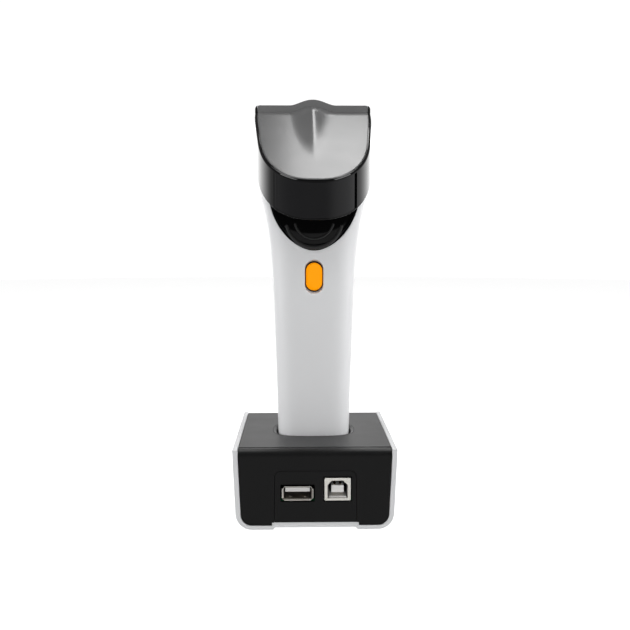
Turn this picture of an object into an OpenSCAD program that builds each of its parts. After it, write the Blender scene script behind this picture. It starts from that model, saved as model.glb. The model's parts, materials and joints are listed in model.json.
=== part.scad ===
// Handheld barcode scanner standing in its charging cradle.
// Millimetres. +Z is up, the scanner's nose and the cradle's sockets face -Y,
// and the origin is the centre of the cradle's footprint on the desk.

/* [Cradle] */
// Width across the white sides, at the top
cradle_w = 75; // [74:0.5:84]
// Depth from the socket face to the back
cradle_d = 80; // [79:1:92]
// Height of the cradle's top face above the desk
cradle_h = 37; // [36:0.1:38]
// Lean of each white side, in degrees
side_lean = 2.7; // [0:0.1:3]
// Thickness of the white sides
side_wall = 2.4; // [2:0.1:3]
// Thickness of the black cover
cover_wall = 2.2; // [1.8:0.1:2.6]
// Radius of the white shell's bottom corners
corner_r = 7.5; // [6:0.5:9]
// Radius of the cover's front and back top edges
crease_r = 4; // [3:0.5:5]
// Height of the rubber pad's face below the shell
pad_gap = 0.3; // [0.2:0.1:0.5]

/* [Sockets] */
// Width of the port panel
panel_w = 36.8; // [36:0.1:38]
// Height of the port panel's top edge
panel_top = 27.2; // [26:0.1:28]
// USB-A socket's place across the front
usb_a_x = -7.9; // [-8.4:0.1:-7.6]
// USB-A socket's height
usb_a_z = 17.1; // [16.9:0.1:17.2]
// USB-B socket's place across the front
usb_b_x = 10.2; // [10:0.1:10.4]
// USB-B socket's height
usb_b_z = 18.9; // [18.7:0.1:18.9]

/* [Handle] */
// Half the handle's width where it enters the cradle
handle_half_w = 17.5; // [17.3:0.1:17.6]
// Depth of the handle in front of its middle, at the cradle
handle_front = 14; // [13.8:0.1:14.1]
// Depth of the handle behind its middle, at the cradle
handle_back = 14; // [13.8:0.1:14.1]
// Thickness of the handle shells
shell_wall = 2.2; // [2:0.1:2.4]
// Height of the handle's lower end when seated
handle_z = 12.5; // [12.5:0.1:12.6]
// Height of the trigger's middle
trigger_z = 113.5; // [112:0.5:114]
// How far the trigger travels
trigger_travel = 0.8; // [0.6:0.1:0.8]

/* [Head] */
// Height of the panel's front tip
nose_z = 157.1; // [156:0.1:158]
// Distance of the panel's front tip in front of the middle
nose_y = 58; // [58:0.5:59]
// Height of the head's side walls
band_h = 16.9; // [16.5:0.1:18]
// Half the panel's width at the lip
panel_half_w = 29.4; // [29:0.1:30]
// Width of the black rim round the panel
rim_w = 1.3; // [1.2:0.1:1.5]
// Height of the lip behind the panel
lip_h = 3.4; // [3:0.1:4]
// Height of the ridge at the lip
ridge_h = 3; // [2:0.1:3.5]

/* [Hidden] */
$fn = 48;
EPS = 0.01;
FAR = 300;

// ---------- shared helpers ----------

// An arc's points, counted in steps from angle a0 to a1
function arc(cx, cy, r, a0, a1, steps = 6) =
  [for (i = [0:steps]) [cx + r * cos(a0 + (a1 - a0) * i / steps), cy + r * sin(a0 + (a1 - a0) * i / steps)]];

function signed_pow(v, p) = sign(v) * pow(abs(v), p);

// Runs an outline drawn in X and Z along Y, from y0 to y1
module along_y(y0, y1) {
  translate([0, y1, 0]) rotate([90, 0, 0]) linear_extrude(height = y1 - y0) children();
}

// Runs an outline drawn in Y and Z across X, from x0 to x1
module along_x(x0, x1) {
  translate([x0, 0, 0]) rotate([90, 0, 90]) linear_extrude(height = x1 - x0) children();
}

// Straight pin along Y, its first end at y
module rod_y(x, y, z, r, length) {
  translate([x, y, z]) rotate([-90, 0, 0]) cylinder(r = r, h = length);
}

// Upright rounded bar outline, as tall as h between its ends
module pill(w, h) {
  square([w, h - w], center = true);
  for (s = [-1, 1]) translate([0, s * (h - w) / 2]) circle(d = w);
}

// Closed loft through rings that all have the same number of points
module loft(rings) {
  n = len(rings[0]);
  m = len(rings);
  points = [for (ring = rings) for (p = ring) p];
  sides = [for (j = [0:m - 2]) for (i = [0:n - 1]) let (k = (i + 1) % n)
    each [[j * n + i, (j + 1) * n + i, j * n + k], [j * n + k, (j + 1) * n + i, (j + 1) * n + k]]];
  bottom = [for (i = [0:n - 1]) i];
  top = [for (i = [n - 1:-1:0]) (m - 1) * n + i];
  polyhedron(points = points, faces = concat([bottom, top], sides));
}

// ---------- cradle ----------

shell_bottom = pad_gap;
floor_top = 2.2;
notch_h = 1.4;
panel_x = 0.2;
lean = tan(side_lean);

function side_x(z, inset) = cradle_w / 2 - lean * (cradle_h - z) - inset;

// Outline of the cradle seen from the front: leaning sides, round bottom corners
function cradle_outline(inset, z0, top) =
  let (r = corner_r - inset, cx = side_x(z0 + r, inset) - r)
  concat(
    [[side_x(top, inset), top], [-side_x(top, inset), top]],
    arc(-cx, z0 + r, r, 180, 270),
    arc(cx, z0 + r, r, 270, 360)
  );

module cradle_solid(inset, z0, top, y0, y1) {
  along_y(y0, y1) polygon(cradle_outline(inset, z0, top));
}

screw_x = 25;
screw_y = 14;
pad_half = [31, 26];
pad_r = 5;
pad_recess = 0.7;
notch_depth = 12;
board_post_x = 13;
port_board_y = -28;
port_board_z = 13.35;
board_t = 1.6;

module at_cradle_screws() {
  for (x = [-screw_x, screw_x], y = [-screw_y, screw_y]) translate([x, y, 0]) children();
}

// Rounded rectangle of the pad under the floor, grown by g
module pad_outline(g) {
  w = pad_half[0] + g;
  d = pad_half[1] + g;
  r = pad_r + g;
  polygon(concat(
    arc(w - r, d - r, r, 0, 90),
    arc(r - w, d - r, r, 90, 180),
    arc(r - w, r - d, r, 180, 270),
    arc(w - r, r - d, r, 270, 360)
  ));
}

module cradle_shell() {
  half_d = cradle_d / 2;
  notch_w = panel_w + 0.6;
  color("whitesmoke") difference() {
    union() {
      difference() {
        cradle_solid(0, shell_bottom, cradle_h, -half_d, half_d);
        cradle_solid(side_wall, floor_top, cradle_h + 1, -half_d - 1, half_d + 1);
      }
      translate([panel_x - notch_w / 2 - 1, -half_d, 1])
        cube([notch_w + 2, notch_depth + 2, floor_top + notch_h - 1]);
      for (x = [-board_post_x, board_post_x]) translate([x, port_board_y, 1])
        cylinder(r = 2.5, h = port_board_z - board_t - 1);
    }
    translate([panel_x - notch_w / 2, -half_d - 1, -1]) cube([notch_w, notch_depth + 1, 1 + notch_h]);
    at_cradle_screws() {
      translate([0, 0, -1]) cylinder(r = 1.5, h = 6);
      translate([0, 0, -1]) cylinder(r = 3, h = 2.3);
    }
    translate([0, 0, -1]) linear_extrude(height = 1 + shell_bottom + pad_recess) pad_outline(0.05);
  }
}

// Side outline of the cover's outside or inside, with its rounded top edges
function saddle(inset, bottom) =
  let (d = cradle_d / 2 - inset, h = cradle_h - inset, r = crease_r - inset)
  concat(
    [[-d, bottom]],
    arc(-d + r, h - r, r, 180, 90),
    arc(d - r, h - r, r, 90, 0),
    [[d, bottom]]
  );

well_half_w = 18.2;
well_half_d = 14.5;
ring_half_w = 20.2;
ring_half_d = 15.3;
mouth_flare = 1.5;

// The well's outside, grown by g
module ring_outline(g) {
  polygon(section(ring_half_w + g, ring_half_d + g, ring_half_d + g));
}

module cradle_cover() {
  fit = 0.05;
  bottom = floor_top + fit;
  post_r = 3;
  pilot_r = 1.3;
  color([0.1, 0.1, 0.1]) difference() {
    union() {
      difference() {
        intersection() {
          cradle_solid(side_wall + fit, bottom, cradle_h, -cradle_d, cradle_d);
          along_x(-cradle_w, cradle_w) polygon(saddle(0, bottom));
        }
        along_x(-cradle_w, cradle_w) polygon(saddle(cover_wall, bottom - 1));
      }
      at_cradle_screws() translate([0, 0, bottom]) cylinder(r = post_r, h = cradle_h - bottom - 1);
    }
    at_cradle_screws() translate([0, 0, bottom - 1]) cylinder(r = pilot_r, h = 14);
    along_y(-cradle_d, 1 - cradle_d / 2 + cover_wall) door_outline(0.15);
    translate([panel_x - panel_w / 2 - 1.35, -cradle_d, bottom - 1])
      cube([panel_w + 2.7, cradle_d, 1 + notch_h]);
    translate([0, 0, cradle_h - 10]) linear_extrude(height = 20) ring_outline(fit);
  }
}

// The door-shaped panel, a little wider at its foot, grown by g
module door_outline(g) {
  r = 2.8 + g;
  half = panel_w / 2 + g;
  foot = floor_top + notch_h + 0.05 - g;
  polygon(concat(
    [[panel_x + half + 0.3, foot]],
    arc(panel_x + half - r, panel_top + g - r, r, 0, 90),
    arc(panel_x - half + r, panel_top + g - r, r, 90, 180),
    [[panel_x - half - 0.3, foot]]
  ));
}

usb_a_mouth = [14.7, 7.2];
usb_b_face = [12.04, 10.5];
socket_gap = 0.45;

module socket_hole(x, z, face) {
  translate([x, 0, z]) cube([face[0] + 2 * socket_gap, FAR, face[1] + 2 * socket_gap], center = true);
}

module port_panel() {
  front = -cradle_d / 2 + 0.1;
  color([0.12, 0.12, 0.12]) difference() {
    along_y(front, front + 1.8) door_outline(0);
    socket_hole(usb_a_x, usb_a_z, usb_a_mouth);
    socket_hole(usb_b_x, usb_b_z, usb_b_face);
  }
}

well_floor = handle_z - 0.3;
pin_x = [-6, -2, 2, 6];

module at_pins() {
  for (x = pin_x) translate([x, 0, 0]) children();
}

// Level ring of the well's inside, widened by g at its two ends
function well_ring(z, g) =
  [for (p = section(well_half_w + g, well_half_d + EPS, well_half_d + EPS)) [p[0], p[1], z]];

module dock_well() {
  color([0.13, 0.13, 0.13]) difference() {
    translate([0, 0, well_floor - 2]) linear_extrude(height = cradle_h - well_floor + 2) ring_outline(0);
    translate([0, 0, well_floor]) linear_extrude(height = FAR)
      polygon(section(well_half_w, well_half_d, well_half_d));
    loft([well_ring(cradle_h - mouth_flare, 0), well_ring(cradle_h + EPS, mouth_flare)]);
    at_pins() cylinder(r = 0.95, h = FAR);
  }
}

// USB-A socket: mouth, sleeve and legs in one bent metal shell
usb_a_open = [12.5, 5.12];
usb_a_sleeve = [13.1, 5.72];
socket_front = -cradle_d / 2;

module usb_frame(x, z, outer, inner, y0, y1) {
  difference() {
    translate([x - outer[0] / 2, y0, z - outer[1] / 2]) cube([outer[0], y1 - y0, outer[1]]);
    translate([x - inner[0] / 2, y0 - 1, z - inner[1] / 2]) cube([inner[0], y1 - y0 + 2, inner[1]]);
  }
}

module usb_a_shell() {
  leg_x = usb_a_sleeve[0] / 2 - 0.4;
  leg_h = usb_a_z - usb_a_sleeve[1] / 2 - port_board_z + 0.1;
  color("silver") {
    usb_frame(usb_a_x, usb_a_z, usb_a_mouth, usb_a_open, socket_front - 0.4, socket_front);
    usb_frame(usb_a_x, usb_a_z, usb_a_sleeve, usb_a_open, socket_front, socket_front + 13.5);
    for (s = [-1, 1]) translate([usb_a_x + s * leg_x - 0.4, port_board_y - 1.5, port_board_z])
      cube([0.8, 3, leg_h]);
  }
}

tongue_half_w = 5.6;
tongue_z = usb_a_z + 0.35;
tongue_t = 1.85;

module usb_a_tongue() {
  back_y = socket_front + 11.5;
  color([0.16, 0.16, 0.16]) {
    translate([usb_a_x - tongue_half_w, socket_front + 1.2, tongue_z])
      cube([2 * tongue_half_w, 11, tongue_t]);
    translate([usb_a_x - usb_a_open[0] / 2 + 0.05, back_y, usb_a_z - usb_a_open[1] / 2 + 0.05])
      cube([usb_a_open[0] - 0.1, 1.9, usb_a_open[1] - 0.1]);
  }
}

module usb_a_contacts() {
  contact_w = 1;
  pitches = [-3.5, -1, 1, 3.5];
  color("gold") for (x = pitches)
    translate([usb_a_x + x - contact_w / 2, socket_front + 2.2, tongue_z - 0.25])
      cube([contact_w, 8.5, 0.25]);
}

usb_b_open = [8.45, 7.78];
usb_b_depth = 16;
usb_b_block_size = [5.6, 3.18];

// The square socket's opening, with its two cut top corners
module usb_b_opening() {
  w = usb_b_open[0] / 2;
  h = usb_b_open[1] / 2;
  cut = 1.9;
  translate([usb_b_x, usb_b_z])
    polygon([[-w, -h], [w, -h], [w, h - cut], [w - cut, h], [cut - w, h], [-w, h - cut]]);
}

module usb_b_shell() {
  color("silver") difference() {
    translate([usb_b_x - usb_b_face[0] / 2, socket_front - 0.3, usb_b_z - usb_b_face[1] / 2])
      cube([usb_b_face[0], usb_b_depth, usb_b_face[1]]);
    along_y(socket_front - 1, socket_front + usb_b_depth - 2.3) usb_b_opening();
  }
}

module usb_b_block() {
  w = usb_b_block_size[0];
  h = usb_b_block_size[1];
  color("whitesmoke") translate([usb_b_x - w / 2, socket_front + 0.5, usb_b_z - h / 2])
    cube([w, usb_b_depth - 2.8, h]);
}

module usb_b_contacts() {
  contact_w = 0.9;
  contact_t = 0.2;
  off_z = (usb_b_block_size[1] + contact_t) / 2;
  color("gold") for (x = [-1.25, 1.25], s = [-1, 1])
    translate([usb_b_x + x - contact_w / 2, socket_front + 1.5, usb_b_z + s * off_z - contact_t / 2])
      cube([contact_w, 8, contact_t]);
}

module port_board() {
  color("darkgreen") translate([-17, -37.6, port_board_z - board_t]) cube([34.4, 18, board_t]);
}

charge_board_z = well_floor - 2;

module charge_board() {
  color("darkgreen") difference() {
    translate([-14, -9, charge_board_z - board_t]) cube([28, 18, board_t]);
    at_pins() translate([0, 0, charge_board_z - 5]) cylinder(r = 0.95, h = 10);
  }
}

module board_chips() {
  color([0.15, 0.15, 0.15]) {
    translate([-14.5, -24.5, port_board_z]) cube([4.5, 4, 0.9]);
    translate([-4, -24.5, port_board_z]) cube([6, 4, 0.9]);
    translate([-12.5, -3, charge_board_z - board_t - 0.9]) cube([4.5, 4.5, 0.9]);
  }
}

module board_link() {
  drop_y = -22;
  strip_z = charge_board_z - 0.9;
  color("ivory") along_x(9, 16) polygon([
    [drop_y, port_board_z - board_t], [drop_y, strip_z], [-9, strip_z], [-9, strip_z + 0.4],
    [drop_y + 0.4, strip_z + 0.4], [drop_y + 0.4, port_board_z - board_t]
  ]);
}

pin_r = 0.5;
pin_top = handle_z + 1.1;
barrel_bottom = charge_board_z - board_t - 1;

module pin_barrels() {
  color("goldenrod") at_pins() difference() {
    translate([0, 0, barrel_bottom]) cylinder(r = 0.9, h = well_floor + 0.4 - barrel_bottom);
    translate([0, 0, barrel_bottom + 0.6]) cylinder(r = pin_r + 0.05, h = 10);
  }
}

module charge_pin(i) {
  pin_bottom = barrel_bottom + 1.8;
  tip_h = pin_r * 0.6;
  color("gold") translate([pin_x[i], 0, 0]) {
    translate([0, 0, pin_bottom]) cylinder(r = pin_r, h = pin_top - tip_h - pin_bottom);
    translate([0, 0, pin_top - tip_h]) cylinder(r1 = pin_r, r2 = pin_r * 0.6, h = tip_h);
  }
}

module ballast_plate() {
  color("gray") translate([-20, -12, floor_top + 0.1]) cube([40, 46, 3]);
}

module rubber_pad() {
  color([0.2, 0.2, 0.2]) difference() {
    linear_extrude(height = shell_bottom + pad_recess) pad_outline(0);
    at_cradle_screws() translate([0, 0, -1]) cylinder(r = 3.4, h = 5);
  }
}

module cradle_screws() {
  head_top = 1.25;
  color("silver") at_cradle_screws() {
    translate([0, 0, 0.45]) cylinder(r = 2.7, h = head_top - 0.45);
    translate([0, 0, head_top - EPS]) cylinder(r = 1.25, h = 10);
  }
}

// ---------- scanner: outlines ----------

front_power = 3.2;
back_power = 2.6;
ring_steps = 32;

// Rounded cross-section with its own depth in front and behind
function section(half_w, front, back) =
  [for (i = [0:ring_steps - 1]) let (
    a = 360 * i / ring_steps,
    p = sin(a) < 0 ? front_power : back_power,
    depth = sin(a) < 0 ? front : back)
    [half_w * signed_pow(cos(a), 2 / p), depth * signed_pow(sin(a), 2 / p)]];

// The handle widens slowly, then flares into the neck below the head
neck_z = 150;
flare_z = 100;
throat_z = 105;
neck_slope = 0.2;
neck_ease = 0.0025;
function cubed(v) = v * v * v;
function flare_w(z) = handle_half_w + 0.0328 * (z - cradle_h) + 0.0000294 * cubed(max(0, z - flare_z));
function half_w(z) = z < neck_z ? flare_w(z)
  : flare_w(neck_z) + neck_slope * (z - neck_z) - neck_ease * (z - neck_z) * (z - neck_z);
function front_of(z) = handle_front + 0.036 * (z - cradle_h)
  + 0.000137 * cubed(max(0, min(z, neck_z + 2) - throat_z));
function back_of(z) = handle_back + 0.036 * (z - cradle_h)
  + 0.0000352 * cubed(max(0, min(z, 183) - throat_z));

function handle_ring(z, inset) =
  [for (p = section(half_w(z) - inset, front_of(z) - inset, back_of(z) - inset)) [p[0], p[1], z]];

cap_top = handle_z + 3.5;
loft_levels = [cap_top, 40, 70, 100, 114, 124, 132, 138, 144, 150, 160, 172, 190];

// Everything inside the handle and neck surface, drawn in by inset
module handle_solid(inset) {
  loft([for (z = loft_levels) handle_ring(z, inset)]);
}

// Slope of the head, as rise over run, and the planes that bound it
head_slope = 0.51;
head_tilt = atan(head_slope);
lip_y = 22;
head_back = 38;
function panel_z(y) = nose_z + head_slope * (y + nose_y);
function belly_z(y) = panel_z(y) - band_h;

// Side outline of the space below the head's underside, lowered by drop
module below_head(drop) {
  y0 = -80;
  y1 = 80;
  along_x(-60, 60) polygon([[y0, 0], [y1, 0], [y1, belly_z(y1) - drop], [y0, belly_z(y0) - drop]]);
}

// Half the panel's width at y, grown by g: a straight run that closes round the nose
round_start = 15;
taper = 0.105;
nose_power = 2.75;
// Behind bow_start the sides bow inwards by bow times the distance squared
bow_start = 5;
bow = 0.0028;
function side_w(y, g) = panel_half_w + g - taper * (lip_y - y) - bow * pow(max(0, y - bow_start), 2);
function nose_round(y, g) =
  let (t = min(1, max(0, (-round_start - y) / (nose_y + 0.8 * g - round_start))))
  pow(1 - pow(t, nose_power), 0.4);
function outline_w(y, g) = side_w(y, g) * nose_round(y, g);
function back_w(y, g) = side_w(y, g)
  * pow(max(0, 1 - pow(min(1, (y - lip_y) / (head_back + g - lip_y)), 2.5)), 0.4);

// y positions from the nose to the lip, closest together at the nose
nose_steps = 14;
function nose_rows(g) = let (tip = nose_y + 0.8 * g)
  [for (i = [0:nose_steps]) lip_y - (lip_y + tip) * sin(90 * (nose_steps - i) / nose_steps)];
function back_rows(g) = [for (i = [1:6]) lip_y + (head_back + g - lip_y) * sin(15 * i)];

// The head seen from above, grown by g
function head_outline(g) =
  let (rows = nose_rows(g), backs = back_rows(g))
  concat(
    [for (y = rows) [outline_w(y, g), y]],
    [for (y = backs) [back_w(y, g), y]],
    [for (i = [len(backs) - 2:-1:0]) [-back_w(backs[i], g), backs[i]]],
    [for (i = [len(rows) - 1:-1:1]) [-outline_w(rows[i], g), rows[i]]]
  );

module head_column(g) {
  translate([0, 0, 120]) linear_extrude(height = 100) polygon(head_outline(g));
}

// Slab between the underside raised by lift and the panel plane lowered by drop
module head_slab(lift, drop, y0 = -80, y1 = 80, half = 60) {
  along_x(-half, half) polygon([
    [y0, belly_z(y0) + lift], [y1, belly_z(y1) + lift], [y1, panel_z(y1) - drop], [y0, panel_z(y0) - drop]
  ]);
}

// Local frame on the head's middle line: -Y looks out of the nose, Z is square to the panel
module in_head(s, height = 0) {
  translate([0, -nose_y, nose_z - band_h / 2]) rotate([head_tilt, 0, 0])
    translate([0, s, height]) children();
}

// ---------- scanner: handle ----------

split_y = 2;
trigger_y = -front_of(trigger_z);
hole_z = trigger_z - 0.25;
boss_r = 2.5;
shell_screw_z = [26, 97];
deck_t = 2.2;
deck_screws = [[12, -9], [12, 16]];
cable_hole = [12, 11];
throat_top_z = 152;
throat_half_w = 21.2;
throat_half_h = 25.6;
throat_power = 1.8;
arc_z = 141.2;

module at_deck_screws() {
  for (p = deck_screws, s = [-1, 1])
    translate([s * p[0], p[1], belly_z(p[1])]) rotate([head_tilt, 0, 0]) children();
}

// Opening under the head: half a pointed oval below, straight sides above
module throat_outline(g) {
  w = throat_half_w + g;
  h = throat_half_h + g;
  steps = 24;
  polygon(concat(
    [for (i = [0:steps]) let (a = 180 * i / steps)
      [-w * signed_pow(cos(a), 2 / throat_power), throat_top_z - h * signed_pow(sin(a), 2 / throat_power)]],
    [[w, throat_top_z + 20], [-w, throat_top_z + 20]]
  ));
}

// Shell of the handle and neck with its sloping deck, before it is split
module handle_tube() {
  difference() {
    intersection() {
      handle_solid(0);
      below_head(0.1);
    }
    intersection() {
      translate([0, 0, -1]) handle_solid(shell_wall);
      below_head(deck_t);
    }
    translate([-cable_hole[0] / 2, -8, 100]) cube([cable_hole[0], cable_hole[1], 100]);
  }
}

module front_shell() {
  color("whitesmoke") difference() {
    union() {
      difference() {
        handle_tube();
        translate([-FAR / 2, split_y - 0.05, 0]) cube([FAR, FAR, FAR]);
      }
      for (z = shell_screw_z) rod_y(0, -front_of(z) + 1, z, boss_r, split_y - 0.1 + front_of(z) - 1);
    }
    for (z = shell_screw_z) rod_y(0, split_y - 9, z, 1.25, 20);
    translate([0, 0, hole_z]) along_y(-40, trigger_y + 4) pill(8.8, 16.2);
    along_y(-80, throat_back + 1.8) throat_outline(0);
    at_deck_screws() translate([0, 0, -8]) cylinder(r = 1.25, h = 20);
  }
}

module rear_shell() {
  color("whitesmoke") difference() {
    union() {
      difference() {
        handle_tube();
        translate([-FAR / 2, split_y + 0.05 - FAR, 0]) cube([FAR, FAR, FAR]);
      }
      for (z = shell_screw_z) rod_y(0, split_y + 0.1, z, boss_r, back_of(z) - split_y - 1);
    }
    for (z = shell_screw_z) {
      rod_y(0, -20, z, 1.45, 60);
      rod_y(0, back_of(z) - 5, z, 2.45, 30);
    }
    at_deck_screws() translate([0, 0, -8]) cylinder(r = 1.25, h = 20);
  }
}

module shell_screws() {
  color("silver") for (z = shell_screw_z) {
    rod_y(0, split_y - 7, z, 1.2, back_of(z) - 5 - split_y + 7);
    rod_y(0, back_of(z) - 5, z, 2.2, 1.4);
  }
}

pad_z = handle_z + 1.15;

module handle_cap() {
  color([0.3, 0.3, 0.3]) difference() {
    union() {
      translate([0, 0, handle_z]) linear_extrude(height = cap_top - 0.05 - handle_z)
        polygon(section(half_w(handle_z), front_of(handle_z), back_of(handle_z)));
      translate([0, 0, handle_z + 1]) linear_extrude(height = 5)
        polygon(section(half_w(cap_top) - shell_wall - 0.1, front_of(cap_top) - shell_wall - 0.1,
          back_of(cap_top) - shell_wall - 0.1));
    }
    translate([-8, -2, handle_z - 1]) cube([16, 4, pad_z - handle_z + 1]);
    at_pins() translate([0, 0, handle_z]) cylinder(r = 1.45, h = 1.5);
  }
}

module charge_pads() {
  color("gold") at_pins() translate([0, 0, pad_z]) cylinder(r = 1.4, h = 0.35);
}

// ---------- scanner: head ----------

window_half = 18;
window_low = 1.4;
window_high = 1.6;
cap_seat = 195;

module head_shell() {
  panel_t = 1.6;
  floor_t = 2.2;
  rear = head_back + rim_w;
  color([0.05, 0.05, 0.05]) difference() {
    intersection() {
      head_column(rim_w);
      along_x(-60, 60) polygon(concat(
        [[-80, belly_z(-80)], [rear + 1, belly_z(rear + 1)]],
        [for (y = [rear + 1:-2:lip_y + 0.1]) [y, cap_z(y)]],
        [[lip_y + 0.1, cap_z(lip_y)], [lip_y + 0.1, panel_z(lip_y)], [-80, panel_z(-80)]]
      ));
    }
    intersection() {
      head_column(0.1);
      translate([-60, lip_y + 0.1, cap_seat]) cube([120, 60, 60]);
    }
    intersection() {
      head_column(-0.9);
      head_slab(floor_t, -30);
    }
    intersection() {
      head_column(0.1);
      head_slab(band_h - panel_t - 0.05, -30, -80, lip_y + 0.1);
    }
    intersection() {
      translate([-window_half, -80, 120]) cube([2 * window_half, 45, 80]);
      head_slab(window_low, window_high);
    }
    translate([-cable_hole[0] / 2, -8, 130]) cube([cable_hole[0], cable_hole[1], 60]);
    at_deck_screws() translate([0, 0, -1]) cylinder(r = 1.4, h = 6);
  }
}

// The panel's ridge: highest and widest at the lip, narrow where it fades out before the nose
ridge_half = 12;
ridge_end_half = 3.5;
ridge_end = -38;
cap_droop = 2.5;
function ease(t) = let (c = min(1, max(0, t))) c * c * (3 - 2 * c);
function cap_z(y) = panel_z(lip_y) + lip_h - cap_droop * ease((y - lip_y - 4) / 12);
function ridge(x, y) =
  let (
    along = ease((y - ridge_end) / (lip_y - ridge_end)),
    u = min(1, abs(x) / (ridge_end_half + (ridge_half - ridge_end_half) * sqrt(along)))
  )
  ridge_h * (1 - u * u) * (1 - u * u) * along;

// Closed sheet over rows of points, from its upper and lower surfaces
module sheet(rows, columns, x_at, top_at, low_at) {
  n = columns + 1;
  m = len(rows);
  us = [for (i = [0:columns]) 2 * i / columns - 1];
  upper = [for (y = rows) for (u = us) let (x = u * x_at(y)) [x, y, top_at(x, y)]];
  lower = [for (y = rows) for (u = us) let (x = u * x_at(y)) [x, y, low_at(x, y)]];
  k = n * m;
  tops = [for (j = [0:m - 2]) for (i = [0:columns - 1]) let (a = j * n + i)
    each [[a, a + n, a + 1], [a + 1, a + n, a + n + 1]]];
  lows = [for (f = tops) [f[2] + k, f[1] + k, f[0] + k]];
  rim_ids = concat(
    [for (i = [0:columns - 1]) i],
    [for (j = [0:m - 2]) j * n + columns],
    [for (i = [columns:-1:1]) (m - 1) * n + i],
    [for (j = [m - 1:-1:1]) j * n]
  );
  count = len(rim_ids);
  walls = [for (i = [0:count - 1]) let (a = rim_ids[i], b = rim_ids[(i + 1) % count])
    each [[a, b, b + k], [a, b + k, a + k]]];
  polyhedron(points = concat(upper, lower), faces = concat(tops, lows, walls));
}

// How far a sheet reaches past the outline that trims it
spare = 1;

module top_panel() {
  panel_t = 1.6;
  color("gray") intersection() {
    sheet(
      [for (y = nose_rows(spare)) max(y, 0.3 - nose_y - 0.8 * spare)],
      20,
      function (y) outline_w(y, spare),
      function (x, y) panel_z(y) + ridge(x, y),
      function (x, y) panel_z(y) - panel_t
    );
    head_column(0);
  }
}

module rear_cap() {
  color("dimgray") intersection() {
    sheet(
      concat([lip_y + 0.15], [for (y = back_rows(spare)) min(y, head_back + spare - 0.2)]),
      20,
      function (y) back_w(y, spare),
      function (x, y) cap_z(y) + ridge(x, lip_y) * (1 - ease((y - lip_y) / 16)),
      function (x, y) cap_seat + 0.05
    );
    head_column(0);
  }
}

module scan_window() {
  fit = 0.05;
  color([0.1, 0.1, 0.12]) intersection() {
    difference() {
      head_column(rim_w - 0.15);
      head_column(rim_w - 1.6);
    }
    translate([-window_half + fit, -80, 120]) cube([2 * (window_half - fit), 45, 80]);
    head_slab(window_low + fit, window_high + fit);
  }
}

module head_screws() {
  floor_t = 2.2 * cos(head_tilt);
  color("silver") at_deck_screws() {
    translate([0, 0, floor_t + 0.05]) cylinder(r = 2.2, h = 1.2);
    translate([0, 0, -6]) cylinder(r = 1.2, h = floor_t + 6.1);
  }
}

throat_back = -17.2;
arc_rings = [[8.6, 10], [12.4, 14.3]];
arc_sweep = 80;

module throat_cover() {
  wall = 1.3;
  color([0.06, 0.06, 0.06]) {
    difference() {
      intersection() {
        handle_solid(0.5);
        along_y(-80, throat_back + 1.6) throat_outline(-0.1);
        below_head(0.3);
      }
      along_y(-80, throat_back) throat_outline(-0.1 - wall);
    }
    for (ring = arc_rings) translate([0, throat_back + 0.2, arc_z]) rotate([90, 0, 0])
      rotate([0, 0, 270 - arc_sweep]) rotate_extrude(angle = 2 * arc_sweep)
        translate([ring[0], 0]) square([ring[1] - ring[0], 1.4]);
  }
}

module beeper() {
  color([0.2, 0.2, 0.2]) rod_y(0, throat_back + 1.8, arc_z, 6.5, 4);
}

engine_s = 13;
engine_size = [21, 13, 9.1];

module engine_mount() {
  color([0.3, 0.3, 0.3]) in_head(engine_s, -engine_size[2] / 2 - 0.9) translate([-12, -1, 0])
    cube([24, 16, 0.9]);
}

module engine_body() {
  color([0.1, 0.1, 0.1]) in_head(engine_s) difference() {
    translate([-engine_size[0] / 2, 0, -engine_size[2] / 2]) cube(engine_size);
    rod_y(0, -1, 0, 3.5, 6);
    for (x = [-7, 7]) rod_y(x, -1, 0, 2.3, 4);
  }
}

module engine_lens() {
  color("lightblue") in_head(engine_s) rod_y(0, -1.5, 0, 3.45, 6);
}

module light_lenses() {
  color("white") in_head(engine_s) for (x = [-7, 7]) rod_y(x, -0.5, 0, 2.25, 3);
}

module engine_board() {
  color("darkgreen") in_head(engine_s + engine_size[1])
    translate([-engine_size[0] / 2, 0.05, -engine_size[2] / 2]) cube([engine_size[0], 1.2, engine_size[2]]);
}

module engine_flex() {
  t = 0.3;
  path = [[-32, 163], [-20, 167.5], [-4.6, 171.3], [-2.5, 169.3], [-2.5, 132]];
  color("orange") along_x(-4, 4) polygon(concat(
    path,
    [[path[4][0] + t, path[4][1]], [path[3][0] + t, path[3][1]], [path[2][0], path[2][1] + t],
      [path[1][0], path[1][1] + t], [path[0][0], path[0][1] + t]]
  ));
}

board_half = 9;
board_y = -4.6;

module main_board() {
  color("darkgreen") difference() {
    translate([-board_half, board_y, 34]) cube([2 * board_half, board_t, 112]);
    rod_y(0, board_y - 1, shell_screw_z[1], boss_r + 0.3, 10);
  }
}

module main_chips() {
  color([0.15, 0.15, 0.15]) {
    translate([-5, board_y - 1, 126]) cube([10, 0.95, 10]);
    translate([-4, board_y - 0.9, 80]) cube([8, 0.85, 8]);
    translate([-6, board_y - 2.6, 40]) cube([12, 2.55, 5]);
  }
}

module battery() {
  color("steelblue") translate([0, 4.6, 38]) {
    cylinder(r = 6.8, h = 50);
    translate([0, 0, 50]) cylinder(r = 2.6, h = 1);
  }
}

// ---------- trigger ----------

stem_r = 2;
flange_y = trigger_y + 3;
flange_t = 1;
guide_y = flange_y + flange_t + trigger_travel + 0.6;
stem_end = board_y - 4.45;

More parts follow.
